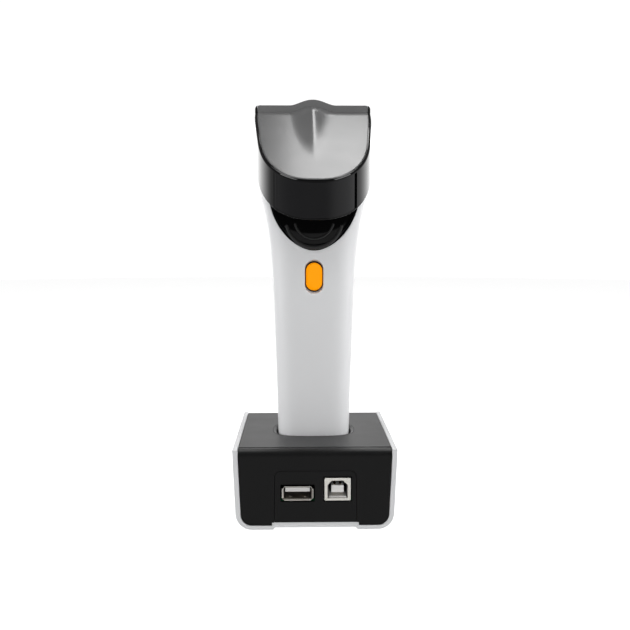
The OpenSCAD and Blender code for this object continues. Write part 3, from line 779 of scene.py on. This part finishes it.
def new_dome(name, centre, r, h):
    """Low dome on a flat foot, its foot sunk a little."""
    cx, cy, cz = centre
    rings = []
    for i in range(6):
        t = math.pi / 2 * i / 6
        level = cz + h * math.sin(t)
        rings.append([(cx + px, cy + py, level) for px, py in circle(0, 0, r * math.cos(t), 20)])
    rings.insert(0, [(px, py, pz - 0.15) for px, py, pz in rings[0]])
    return skin(name, rings)


def usb_b_ring(g, corner, y):
    """The USB-B mouth as a ring at depth y: widened by g all round, its two upper corners cut off."""
    x, z = USB_B
    a, b = (USB_B_MOUTH_W + 2 * g) / 2, (USB_B_MOUTH_H + 2 * g) / 2
    c = USB_B_MOUTH_CUT + corner * g
    line = [(x - a, z - b), (x + a, z - b), (x + a, z + b - c)]
    line += [(x + a - c, z + b), (x - a + c, z + b), (x - a, z + b - c)]
    return [(px, y, pz) for px, pz in line]


def make_usb_b():
    x, z = USB_B
    y0, y1 = USB_B_LO[1], USB_B_HI[1]
    w, h = USB_B_FACE_W, USB_B_FACE_H
    face = [(x + i * w / 2, z + k * h / 2) for i, k in CORNERS]
    shell = prism("usb_b_housing", rounded_corners(face, 0.7, 4), "y", y0, y1)
    bake(bevel(shell, 0.34, 2, 50))
    depths = ((0.5, y0 - 0.3), (0.15, y0 + 0.05), (0.0, y0 + 0.25), (0.0, y0 + 16))
    cut(shell, skin("mouth", [usb_b_ring(g, 0.6, y) for g, y in depths]))
    # Small side slots of the opening, level with its cut corners
    for s in (-1, 1):
        slot_x = x + s * 4.1
        cut(shell, cuboid("slot", (slot_x - 0.45, y0 - 1, z + 0.6), (slot_x + 0.45, y0 + 5, z + 1.5)))
    finish_piece(shell, "cradle", "socket_metal", "usb_b_shell")
    paint_front_sheen(shell)


def make_usb_inner_parts():
    """The tongue and back of the USB-A socket, and the block, lining and sill of the USB-B socket; the
    lining's black is painted shade inside the USB-B mouth.
    """
    lo, hi = box_mm("usb_a_tongue")
    x, z = USB_A
    tongue_z = z + 0.35
    tongue = cuboid("usb_a_blade", (x - 5.6, lo[1], tongue_z), (x + 5.6, hi[1] - 1.5, tongue_z + 1.85))
    bake(bevel(tongue, 0.18, 2, 40))
    finish_piece(tongue, "cradle", "pale_insulator", "usb_a_tongue")
    back = cuboid("usb_a_back_block", (lo[0], hi[1] - 1.6, lo[2]), (hi[0], hi[1], hi[2]))
    bake(bevel(back, 0.1, 1, 40))
    finish_piece(back, "cradle", "dark_insulator")

    lo, hi = box_mm("usb_b_block")
    x, z = USB_B
    block = cuboid("usb_b_core", (x - 2.85, lo[1], z - 1.65), (x + 2.85, hi[1] - 0.3, z + 1.65))
    bake(bevel(block, 0.3, 2, 40))
    finish_piece(block, "cradle", "pale_insulator", "usb_b_block")
    # Painted shade: a black sheet lines the USB-B mouth's sides and top, where the opening lies in shade.
    depths = ((-0.04, lo[1]), (-0.04, lo[1] + 7), (-0.5, lo[1] + 7), (-0.4, lo[1] + 0.1))
    lining = skin("usb_b_painted_shade_lining", [usb_b_ring(g, 0.5, y) for g, y in depths], cyclic=True)
    finish_piece(lining, "cradle", "dark_insulator")
    sill = [(lo[1] - 0.1, z - 3.8), (lo[1] + 6, z - 3.8), (lo[1] + 6, z - 3.0), (lo[1] - 0.1, z - 3.5)]
    half = USB_B_MOUTH_W / 2 - 0.5
    finish_piece(prism("usb_b_sill", sill, "x", x - half, x + half), "cradle", "pale_insulator")


def screw_head(centre, axis, r, h, shank_r, shank):
    """Pan head with a cross recess, on its shank; axis points out of the head."""
    profile = [(shank_r, -shank), (shank_r, 0), (r, 0), (r, h * 0.45)]
    profile += [(r * 0.93, h * 0.75), (r * 0.78, h * 0.95), (r * 0.6, h)]
    head = skin("head", [[(x, y, level) for x, y in circle(0, 0, radius, 36)] for radius, level in profile])
    for turn in (0, 90):
        ends = []
        for a, b, level in ((0.62 * r, 0.12 * r, h + 0.1), (0.3 * r, 0.08 * r, h * 0.35)):
            ends.append([(x * a, y * b, level) for x, y in CORNERS])
        blade = skin("blade", ends)
        blade.data.transform(Matrix.Rotation(math.radians(turn), 4, "Z"))
        cut(head, blade)
    turn = Vector((0, 0, 1)).rotation_difference(Vector(axis)).to_matrix().to_4x4()
    head.data.transform(Matrix.Translation(Vector(centre) * MM) @ turn)
    return head


def join_screws(name, parts, body, replaced):
    bm = bmesh.new()
    for part in parts:
        bm.from_mesh(part.data)
        bpy.data.objects.remove(part)
    mesh = bpy.data.meshes.new(name)
    bm.to_mesh(mesh)
    bm.free()
    finish_piece(add(name, mesh), body, "screw_steel", replaced)


def make_screws():
    lo, hi = box_mm("cradle_screws")
    head_h = 0.8
    shank = hi[2] - lo[2] - 0.9
    level = lo[2] + head_h
    heads = [screw_head((x, y, level), (0, 0, -1), 2.7, head_h, 1.15, shank) for x, y in CRADLE_SCREWS]
    join_screws("cradle_floor_screws", heads, "cradle", "cradle_screws")
    head_h = 1.2
    heads = []
    for z in SHELL_SCREW_Z:
        head_y = back_of(z) - SCREW_SINK
        heads.append(screw_head((0, head_y - head_h, z), (0, 1, 0), 2.2, head_h, 1.05, 13))
    join_screws("handle_back_screws", heads, "scanner", "shell_screws")


# ---------- scanner: handle ----------


def throat_outline(g):
    w = THROAT_W + g
    h = THROAT_H + g
    p = 2 / THROAT_POWER
    turn = [math.pi * i / 72 for i in range(73)]
    line = [(-w * signed_pow(math.cos(t), p), THROAT_TOP_Z - h * math.sin(t) ** p) for t in turn]
    return line + [(w, THROAT_TOP_Z + 30), (-w, THROAT_TOP_Z + 30)]


def throat_gap(x, z):
    """How far a point on the front lies outside the throat's edge; negative inside."""
    if z > THROAT_TOP_Z:
        return abs(x) - THROAT_W
    u, v = abs(x) / THROAT_W, (THROAT_TOP_Z - z) / THROAT_H
    p = THROAT_POWER
    level = u**p + v**p - 1
    steep = math.hypot(p * u ** (p - 1) / THROAT_W, p * v ** (p - 1) / THROAT_H)
    return level / max(steep, 1e-3)


def handle_levels():
    levels = [CAP_TOP, CAP_TOP + 0.25, CAP_TOP + 1]
    levels += [20 + 4 * i for i in range(22)]
    levels += [106 + 2 * i for i in range(6)]
    levels += [118 + 0.8 * i for i in range(48)]
    levels += [156.5 + 1.5 * i for i in range(18)] + [184, 187, 190]
    return levels


def handle_rings(inset, lip=0.0):
    rings = []
    for z in handle_levels():
        foot = 0.18 * (1 - clamp01((z - CAP_TOP) / 0.25)) if not inset else 0.0
        g = inset + foot
        ring = []
        for x, y in superellipse(half_w(z) - g, front_of(z) - g, back_of(z) - g):
            if lip and y < 0 and z > 118:
                gap = throat_gap(x, z)
                # The surface rolls in towards the throat's edge
                y += lip * (1 - clamp01(gap / 1.5)) ** 1.7
            ring.append((x, y, z))
        rings.append(ring)
    return rings


def below_head(name, drop):
    """Everything under the head's underside, lowered by drop."""
    side = [(-80, 0), (80, 0), (80, belly_z(80) - drop), (-80, belly_z(-80) - drop)]
    return prism(name, side, "x", -60, 60)


def handle_tube(name):
    tube = skin(name, handle_rings(0, lip=0.6))
    keep(tube, below_head("under", 0.1))
    inside = handle_rings(SHELL_WALL)
    inside[0] = [(x, y, z - 2) for x, y, z in inside[0]]
    cut(tube, keep(skin("hollow", inside), below_head("under", SHELL_WALL)))
    cut(tube, cuboid("cable_hole", *CABLE_HOLE))
    return tube


def trigger_opening():
    """Cutter for the trigger's hole: its mouth follows the handle and its walls slope in to the button."""
    rings = []
    depths = ((0, 1.2, -0.9), (0, 0.3, 0), (0, 0.06, 0.16), (0, 0, 0.4), (1, 0, 1.9), (1, 0, 9))
    for share, grow, sunk in depths:
        w = HOLE_SIZE[0] - 0.3 * share + 2 * grow
        h = HOLE_SIZE[1] - 1.5 * share + 2 * grow
        rings.append([(x, sunk - front_of(z), z) for x, z in pill(w, h, HOLE_Z + 0.2 * share)])
    return skin("trigger_opening", rings)


def make_front_shell():
    shell = handle_tube("handle_front_shell")
    cut(shell, cuboid("behind", (-60, SPLIT_Y - 0.08, 0), (60, 90, 220)))
    cut(shell, trigger_opening())
    cut(shell, prism("throat", throat_outline(0), "y", -80, THROAT_BACK + 1.8))
    for x, y in DECK_SCREWS:
        if y < 0:
            drill(shell, x, y, PILOT_R, 120, 200)
    finish_piece(shell, "scanner", "white_plastic", "front_shell", angle=38)


def make_rear_shell():
    shell = handle_tube("handle_rear_shell")
    cut(shell, cuboid("ahead", (-60, -90, 0), (60, SPLIT_Y + 0.08, 220)))
    for z in SHELL_SCREW_Z:
        y = back_of(z) - SCREW_SINK
        well_r = 2.45
        unite(shell, prism("post", circle(0, z, 3.6, 32), "y", y - 3.2, y + 4.2))
        drill(shell, 0, z, well_r, y - 1.25, y + 20, 36, "y")
        mouth = []
        for r, out in ((well_r, -0.6), (2.8, 0.1), (3.3, 0.6)):
            mouth.append([(px, back_of(z) + out, pz) for px, pz in circle(0, z, r, 36)])
        cut(shell, skin("mouth", mouth))
        drill(shell, 0, z, PILOT_R, y - 5, y + 1, axis="y")
    for x, y in DECK_SCREWS:
        if y > 0:
            drill(shell, x, y, PILOT_R, 140, 220)
    finish_piece(shell, "scanner", "white_plastic", "rear_shell", angle=38)


def make_trigger():
    back = TRIGGER_HI[1]
    flange_y = -front_of(TRIGGER_Z) + 3
    cap_w, cap_h = CAP_SIZE
    flange_w, flange_h = FLANGE_SIZE

    def ring(w, h, y, middle):
        return [(x, y, z) for x, z in pill(w, h, middle)]

    def face_ring(inset, sink):
        return [(x, sink - front_of(z), z) for x, z in pill(cap_w - 2 * inset, cap_h - 2 * inset, CAP_Z)]

    # A face that follows the handle, with a rounded edge and straight sides
    edge = ((3.3, 0), (2.2, 0.02), (1.5, 0.06), (0.95, 0.13), (0.6, 0.22), (0.3, 0.4), (0.1, 0.65), (0, 1))
    cap = skin("trigger_button_cap", [face_ring(inset, sink) for inset, sink in edge])
    finish_piece(cap, "trigger_button", "orange_plastic", "trigger", angle=40)
    # Behind it the flange with a round stem, coloured black as painted shade for the gap around the button
    rings = [face_ring(0.02, 0.95), ring(cap_w - 0.04, cap_h - 0.04, flange_y, CAP_Z)]
    for smaller, y in ((0.2, 0), (0, 0.1), (0, FLANGE_T - 0.1), (0.2, FLANGE_T)):
        rings.append(ring(flange_w - smaller, flange_h - smaller, flange_y + y, TRIGGER_Z))
    stem = circle(0, TRIGGER_Z, 2, 34)
    rings += [[(x, flange_y + FLANGE_T, z) for x, z in stem], [(x, back - 0.2, z) for x, z in stem]]
    rings.append([(x * 0.9, back, (z - TRIGGER_Z) * 0.9 + TRIGGER_Z) for x, z in stem])
    finish_piece(skin("trigger_base_painted_shade", rings), "trigger_button", "black_satin", angle=40)


# ---------- scanner: head ----------


def head_half(g):
    """Right half of the head's outline seen from above, nose first, with points on both sides of the lip."""
    tip = -nose_tip(g)
    side = [tip + (LIP_Y - tip) * (1 - math.cos(math.pi / 2 * i / 900)) for i in range(900)] + [LIP_Y]
    length = HEAD_BACK + g - LIP_Y - 0.05
    back = [LIP_Y + 0.05 + length * math.sin(math.pi / 2 * i / 499) for i in range(500)]
    side = [(outline_w(y, g), y) for y in side]
    back = [(back_w(y, g), y) for y in back]
    return resample(side, SIDE_POINTS, closed=False) + resample(back, BACK_POINTS, closed=False)


def head_line(g):
    """Whole outline, anticlockwise from the nose; each point says whether it lies behind the lip."""
    half = head_half(g)
    whole = half + [(-x, y) for x, y in half[-2:0:-1]]
    marks = [i >= SIDE_POINTS for i in range(len(half))]
    return whole, marks + marks[-2:0:-1]


def head_ring(g, height, raised, g_behind=None):
    """Ring at outline offset g; height(y) and raised(y) give its level before and behind the lip."""
    line, marks = head_line(g)
    rear = line if g_behind is None else head_line(g_behind)[0]
    ring = []
    for before, after, behind in zip(line, rear, marks):
        ring.append((*after, raised(after[1])) if behind else (*before, height(before[1])))
    return ring


def flat_ring(g, level):
    return head_ring(g, level, level)


def make_head_shell():
    r = 0.22
    rings = [flat_ring(RIM_W - r - 1.2, belly_z)]
    for i in range(7):
        t = math.radians(15 * i)
        up = r * (1 - math.cos(t))
        rings.append(flat_ring(RIM_W - r * (1 - math.sin(t)), lambda y, up=up: belly_z(y) + up))
    rings.append(flat_ring(RIM_W, lambda y: belly_z(y) + BAND_H * 0.5))
    small, large = 1.05, 2.2
    for i in range(9):
        t = math.radians(11.25 * i)
        u = t * 0.72
        rings.append(
            head_ring(
                RIM_W - small * (1 - math.cos(t)),
                lambda y, t=t: panel_z(y) - small * (1 - math.sin(t)),
                lambda y, u=u: cap_z(y) - large * (1 - math.sin(u)),
                RIM_W - large * (1 - math.cos(u)),
            )
        )
    rings.append(head_ring(0.12, lambda y: panel_z(y) - 0.1, lambda y: cap_z(y) - 0.45, 0.12))
    rings.append(head_ring(0.1, lambda y: panel_z(y) - 0.4, lambda y: cap_z(y) - 0.9))
    ledge = PANEL_T + 0.05
    rings.append(head_ring(0.1, lambda y: panel_z(y) - ledge, lambda y: CAP_SEAT - 0.05))
    rings.append(head_ring(-0.9, lambda y: panel_z(y) - ledge, lambda y: CAP_SEAT - 0.05))
    rings.append(flat_ring(-0.9, lambda y: belly_z(y) + 2.9))
    rings.append(flat_ring(-1.6, lambda y: belly_z(y) + 2.2))
    shell = skin("head_rim_shell", rings)
    low, high = WINDOW_LOW - 0.05, WINDOW_HIGH + 0.05
    window = [(y, belly_z(y) + low) for y in (-80, -35)] + [(y, belly_z(y) + high) for y in (-35, -80)]
    cut(shell, prism("window", window, "x", -WINDOW_HALF, WINDOW_HALF))
    cut(shell, cuboid("cable_hole", *CABLE_HOLE))
    for x, y in DECK_SCREWS:
        drill(shell, x, y, 1.4, belly_z(y) - 3, belly_z(y) + 6)
    finish_piece(shell, "scanner", "black_gloss", "head_shell", angle=30)


def grid_solid(name, rows, columns, top_at, low_at):
    """Closed sheet over a grid of (x, y) points."""
    n = len(columns(rows[0]))
    upper, lower = [], []
    for y in rows:
        for x in columns(y):
            upper.append((x, y, top_at(x, y)))
            lower.append((x, y, low_at(x, y)))
    k = len(upper)
    faces = []
    for j in range(len(rows) - 1):
        for i in range(n - 1):
            a = j * n + i
            faces.append((a, a + 1, a + n + 1, a + n))
            faces.append((a + k, a + n + k, a + n + 1 + k, a + 1 + k))
    last = len(rows) - 1
    edge = list(range(n)) + [j * n + n - 1 for j in range(1, last + 1)]
    edge += [last * n + i for i in range(n - 2, -1, -1)] + [j * n for j in range(last - 1, 0, -1)]
    for a, b in zip(edge, edge[1:] + edge[:1]):
        faces.append((a, a + k, b + k, b))
    return new_object(name, upper + lower, faces)


# How far a panel's edge is rounded down, by the distance from the edge
EDGE = [(0.0, 0.24), (0.07, 0.08), (0.22, 0.0)]


def edged_columns(w):
    """Positions across the panel: three close to each edge, the rest closest together at the crest."""
    inner = w - EDGE[-1][0]
    half = [inner * ((i / 56) * 0.55 + 0.45 * (i / 56) ** 2.2) for i in range(57)]
    half += [w - EDGE[1][0], w]
    return [-x for x in half[:0:-1]] + half


def edge_drop(gap):
    if gap >= EDGE[-1][0]:
        return 0.0
    return EDGE[0][1] * (1 - gap / EDGE[-1][0]) ** 2


def make_top_panel():
    tip = -(NOSE_Y - 0.04)
    rows = [tip + s for s in (0.0, 0.07, 0.22, 0.5, 0.9, 1.5, 2.3)]
    rows += [tip + 2.3 + (LIP_Y - 0.1 - tip - 2.3) * i / 80 for i in range(1, 81)]

    def top_at(x, y):
        drop = max(edge_drop(outline_w(y, -0.04) - abs(x)), edge_drop(y - tip))
        return panel_z(y) + ridge(x, y) - drop

    def columns(y):
        return edged_columns(max(1.2, outline_w(y, -0.04)))

    panel = grid_solid("head_top_panel", rows, columns, top_at, lambda x, y: panel_z(y) - PANEL_T)
    finish_piece(panel, "scanner", "grey_satin", "top_panel", angle=50)


def make_rear_cap():
    front = LIP_Y + 0.15
    tail = HEAD_BACK - 0.04
    rows = [front + s for s in (0.0, 0.1, 0.35, 0.8)]
    rows += [front + 0.8 + (tail - front - 0.8) * math.sin(math.pi / 2 * i / 40) for i in range(1, 40)]
    rows += [tail - 0.05, tail]

    def top_at(x, y):
        gap = max(0.0, back_w(y, -0.04) - abs(x))
        edge = 0.3 * max(0.0, 1 - gap / 1.1) ** 2 + 0.22 * max(0.0, 1 - (y - front) / 0.35) ** 2
        edge = max(edge, 0.3 * max(0.0, 1 - (tail - y) / 1.1) ** 2)
        return cap_z(y) + crest(x) * (1 - ease((y - LIP_Y) / CREST_FADE)) - edge

    def columns(y):
        return edged_columns(max(1.5, back_w(y, -0.04)))

    cap = grid_solid("head_rear_cap", rows, columns, top_at, lambda x, y: CAP_SEAT)
    finish_piece(cap, "scanner", "grey_satin", "rear_cap", angle=50)
    # Painted light: the cap wears the lighter copy of the panel's grey.
    cap.data.materials[0] = CAP_LIGHTENED_FINISH


def make_scan_window():
    """Dark window that follows the nose, with a fine line on the left and a sunk strip on the right."""
    low, high = WINDOW_LOW, WINDOW_HIGH
    soft = WINDOW_EDGE

    def arc_at(g):
        depths = [-nose_tip(g) + 40 * (i / 1200) ** 3 for i in range(1200)]
        inside = [(outline_w(y, g), y) for y in depths if outline_w(y, g) < WINDOW_HALF - 0.07]
        return resample([(-x, y) for x, y in inside[::-1]] + inside[1:], 90, closed=False)

    def sunk(x):
        line = WINDOW_LINE * max(0.0, 1 - abs(x - WINDOW_LINE_X) / WINDOW_LINE)
        strip = WINDOW_STRIP_DEPTH * clamp01((x - WINDOW_STRIP_X) / 0.06)
        return max(line, strip)

    coarse = arc_at(RIM_W - 0.15)
    outer = []
    for a, b in zip(coarse, coarse[1:]):
        steps = 6 if abs(a[0]) > 14.8 else 1
        outer += [tuple(u + (v - u) * i / steps for u, v in zip(a, b)) for i in range(steps)]
    outer.append(coarse[-1])
    inner = resample(arc_at(RIM_W - 1.6), len(outer), closed=False)
    points, faces = [], []
    for front, back in zip(outer, inner):
        inward = Vector((back[0] - front[0], back[1] - front[1])).normalized()
        deep = inward * sunk(front[0])
        x, y = front[0] + deep.x, front[1] + deep.y
        rounded = inward * soft
        points += [
            (x + rounded.x, y + rounded.y, belly_z(y) + low),
            (x, y, belly_z(y) + low + soft),
            (x, y, belly_z(y) + high - soft),
            (x + rounded.x, y + rounded.y, belly_z(y) + high),
            (back[0], back[1], belly_z(back[1]) + high),
            (back[0], back[1], belly_z(back[1]) + low),
        ]
    last = len(outer) - 1
    for j in range(last):
        for i in range(6):
            k = (i + 1) % 6
            faces.append((j * 6 + i, j * 6 + k, (j + 1) * 6 + k, (j + 1) * 6 + i))
    faces.append(tuple(range(5, -1, -1)))
    faces.append(tuple(last * 6 + i for i in range(6)))
    window = new_object("nose_scan_window", points, faces)
    finish_piece(window, "scanner", "window_glass", "scan_window", angle=30)


def plate_y(z):
    """The throat's plate leans back a little towards its top."""
    return THROAT_BACK + THROAT_LEAN * (min(z, THROAT_TOP_Z) - ARC_Z)


def make_throat_cover():
    gap = -0.12
    wall = 0.9
    fillet = 1.4
    cover = skin("throat_bowl", handle_rings(1.5))
    keep(cover, prism("edge", throat_outline(gap), "y", -80, THROAT_BACK + 1.6))
    keep(cover, below_head("under", 0.3))
    scoop = []
    for i in range(7):
        t = math.radians(15 * i)
        g = gap - wall - fillet * (1 - math.sin(t))
        scoop.append([(x, plate_y(z) - fillet * (1 - math.cos(t)), z) for x, z in throat_outline(g)])
    scoop.append([(x, -80, z) for x, z in throat_outline(gap - wall)])
    cut(cover, skin("scoop", scoop))
    finish_piece(cover, "scanner", "black_gloss", "throat_cover", angle=35)
    for name, inner, outer in (("throat_arc_inner", 8.6, 10.0), ("throat_arc_outer", 12.4, 14.3)):
        arc_piece = arc_ridge(name, (inner + outer) / 2, (outer - inner) / 2)
        finish_piece(arc_piece, "scanner", "black_gloss", angle=35)
        # Painted highlight: the arcs wear the lighter black instead of the plate's gloss.
        arc_piece.data.materials[0] = ARC_HIGHLIGHT_FINISH


def arc_ridge(name, radius, half):
    """Raised arc with a rounded back and rounded ends, its foot sunk into the plate."""
    steps = 64
    rings = []
    for i in range(steps + 1):
        turn = math.radians(270 - ARC_SWEEP + 2 * ARC_SWEEP * i / steps)
        along = min(i, steps - i) / steps * 2 * math.radians(ARC_SWEEP) * radius
        full = math.sqrt(clamp01(1 - (1 - clamp01(along / half)) ** 2)) * 0.92 + 0.08
        ring = []
        for k in range(9):
            t = math.pi * k / 8
            r = radius + half * full * math.cos(t)
            z = ARC_Z + r * math.sin(turn)
            ring.append((r * math.cos(turn), plate_y(z) - ARC_HEIGHT * full * math.sin(t) ** 0.8, z))
        for r in (radius - half * full, radius + half * full):
            z = ARC_Z + r * math.sin(turn)
            ring.append((r * math.cos(turn), plate_y(z) + 0.4, z))
        rings.append(ring)
    return skin(name, rings)


make_cradle_shell()
make_cradle_cover()
make_port_panel()
make_dock_well()
make_usb_a()
make_usb_b()
make_usb_inner_parts()
make_screws()
make_front_shell()
make_rear_shell()
make_trigger()
make_head_shell()
make_top_panel()
make_rear_cap()
make_scan_window()
make_throat_cover()


# ---------- CAD nodes that stay ----------

SLOT_OF = {part["node"]: part["material_slot"] for part in frame["record"]["subparts"]}
for name, obj in nodes.items():
    if obj.hide_render:
        continue
    obj.data.materials.clear()
    obj.data.materials.append(MATERIALS[SLOT_OF[name]])
    smallest = min(b - a for a, b in zip(*box_mm(name)))
    bevel(obj, min(0.12, smallest * 0.08), 2, 40)


# ---------- camera, lights and stage ----------


CAMERA_PLACE = (-6.78, -386.9, 130.89)
CAMERA_PITCH = 3.165
CAMERA_YAW = 1.114
LENS_MM = 44.57
LENS_SHIFT = -0.0487


camera_data = bpy.data.cameras.new("photo_camera")
camera_data.lens = LENS_MM
camera_data.shift_y = LENS_SHIFT
camera_data.clip_start = 0.01
camera_data.clip_end = 30
camera = add("photo_camera", camera_data)
bpy.context.scene.camera = camera
camera.location = [v * MM for v in CAMERA_PLACE]
camera.rotation_euler = (math.radians(90 - CAMERA_PITCH), 0, math.radians(-CAMERA_YAW))


def area_light(name, place, target, size, radiance, glossy=True, diffuse=True):
    """A soft box whose face is radiance times as bright as white paper in full light."""
    data = bpy.data.lights.new(name, "AREA")
    data.shape = "RECTANGLE"
    data.size, data.size_y = [s * MM for s in size]
    data.energy = radiance * math.pi * data.size * data.size_y
    obj = add(name, data)
    obj.location = [v * MM for v in place]
    toward = Vector(target) - Vector(place)
    obj.rotation_euler = toward.to_track_quat("-Z", "Y").to_euler()
    obj.visible_camera = False
    obj.visible_glossy = glossy
    obj.visible_diffuse = diffuse


area_light("fill_front", (60, -1100, 170), (0, 0, 120), (900, 700), 2.45, glossy=False)
area_light("fill_left", (-900, 60, 260), (0, 0, 110), (600, 700), 3.6, glossy=False)
area_light("fill_right", (900, 100, 260), (0, 0, 110), (600, 700), 3.4, glossy=False)
area_light("soft_back", (60, 490, 850), (0, -10, 180), (180, 235), 4.7)
area_light("soft_overhead", (0, 180, 1000), (0, 0, 0), (900, 480), 1.0)
area_light("soft_top_left", (-610, -270, 790), (0, -50, 150), (620, 220), 5.0)
area_light("soft_top_right", (610, -250, 790), (0, -50, 150), (620, 220), 5.0)
area_light("behind_low", (0, 230, 245), (0, -37, 35), (130, 160), 1.8, diffuse=False)
area_light("overhead_gloss", (0, 60, 900), (0, 0, 0), (900, 420), 1.5, diffuse=False)

FRONT_LIGHT = 0.28
RIGHT_LIGHT = 0.6
OVERHEAD_LIGHT = 0.08
BACK_LIGHT = 1.42
RAISED_LIGHT = 0.12
CAMERA_LIGHT = 1.05
FLOOR_GLOW = 0.85


def room(tree, background):
    """Dim in front, lighter to the right, dark overhead, bright low down behind; white for the camera."""
    link = tree.links.new

    def blend_by(source, low, high, first, second):
        step = tree.nodes.new("ShaderNodeMapRange")
        step.interpolation_type = "SMOOTHSTEP"
        step.inputs["From Min"].default_value = low
        step.inputs["From Max"].default_value = high
        link(source, step.inputs["Value"])
        mix = tree.nodes.new("ShaderNodeMix")
        link(step.outputs["Result"], mix.inputs["Factor"])
        for key, value in (("A", first), ("B", second)):
            if isinstance(value, float):
                mix.inputs[key].default_value = value
            else:
                link(value, mix.inputs[key])
        return mix.outputs["Result"]

    coords = tree.nodes.new("ShaderNodeTexCoord")
    split = tree.nodes.new("ShaderNodeSeparateXYZ")
    link(coords.outputs["Generated"], split.inputs["Vector"])
    low = blend_by(split.outputs["X"], 0.25, 1.0, FRONT_LIGHT, RIGHT_LIGHT)
    ahead = blend_by(split.outputs["Z"], 0.15, 0.5, low, OVERHEAD_LIGHT)
    behind = blend_by(split.outputs["Z"], 0.16, 0.34, BACK_LIGHT, RAISED_LIGHT)
    around = blend_by(split.outputs["Y"], 0.55, 1.0, ahead, behind)
    paths = tree.nodes.new("ShaderNodeLightPath")
    seen = blend_by(paths.outputs["Is Camera Ray"], 0.0, 1.0, around, CAMERA_LIGHT)
    link(seen, background.inputs["Strength"])
    background.inputs["Color"].default_value = (1, 1, 1, 1)


world = bpy.data.worlds.new("soft_room")
bpy.context.scene.world = world
world.use_nodes = True
room(world.node_tree, world.node_tree.nodes["Background"])

floor = prism("studio_floor", circle(0, 0, 2500, 64), "z", -6, -0.02)
paper = material("floor_paper", (0.9, 0.9, 0.9), 0.9, specular=0.0, mottle=0.004, mottle_size=60, grain=0.01)
brighten(paper, (1, 1, 1), FLOOR_GLOW)
floor.data.materials.append(paper)
floor.visible_glossy = False
floor.visible_diffuse = False

bpy.context.scene.view_settings.view_transform = "Standard"
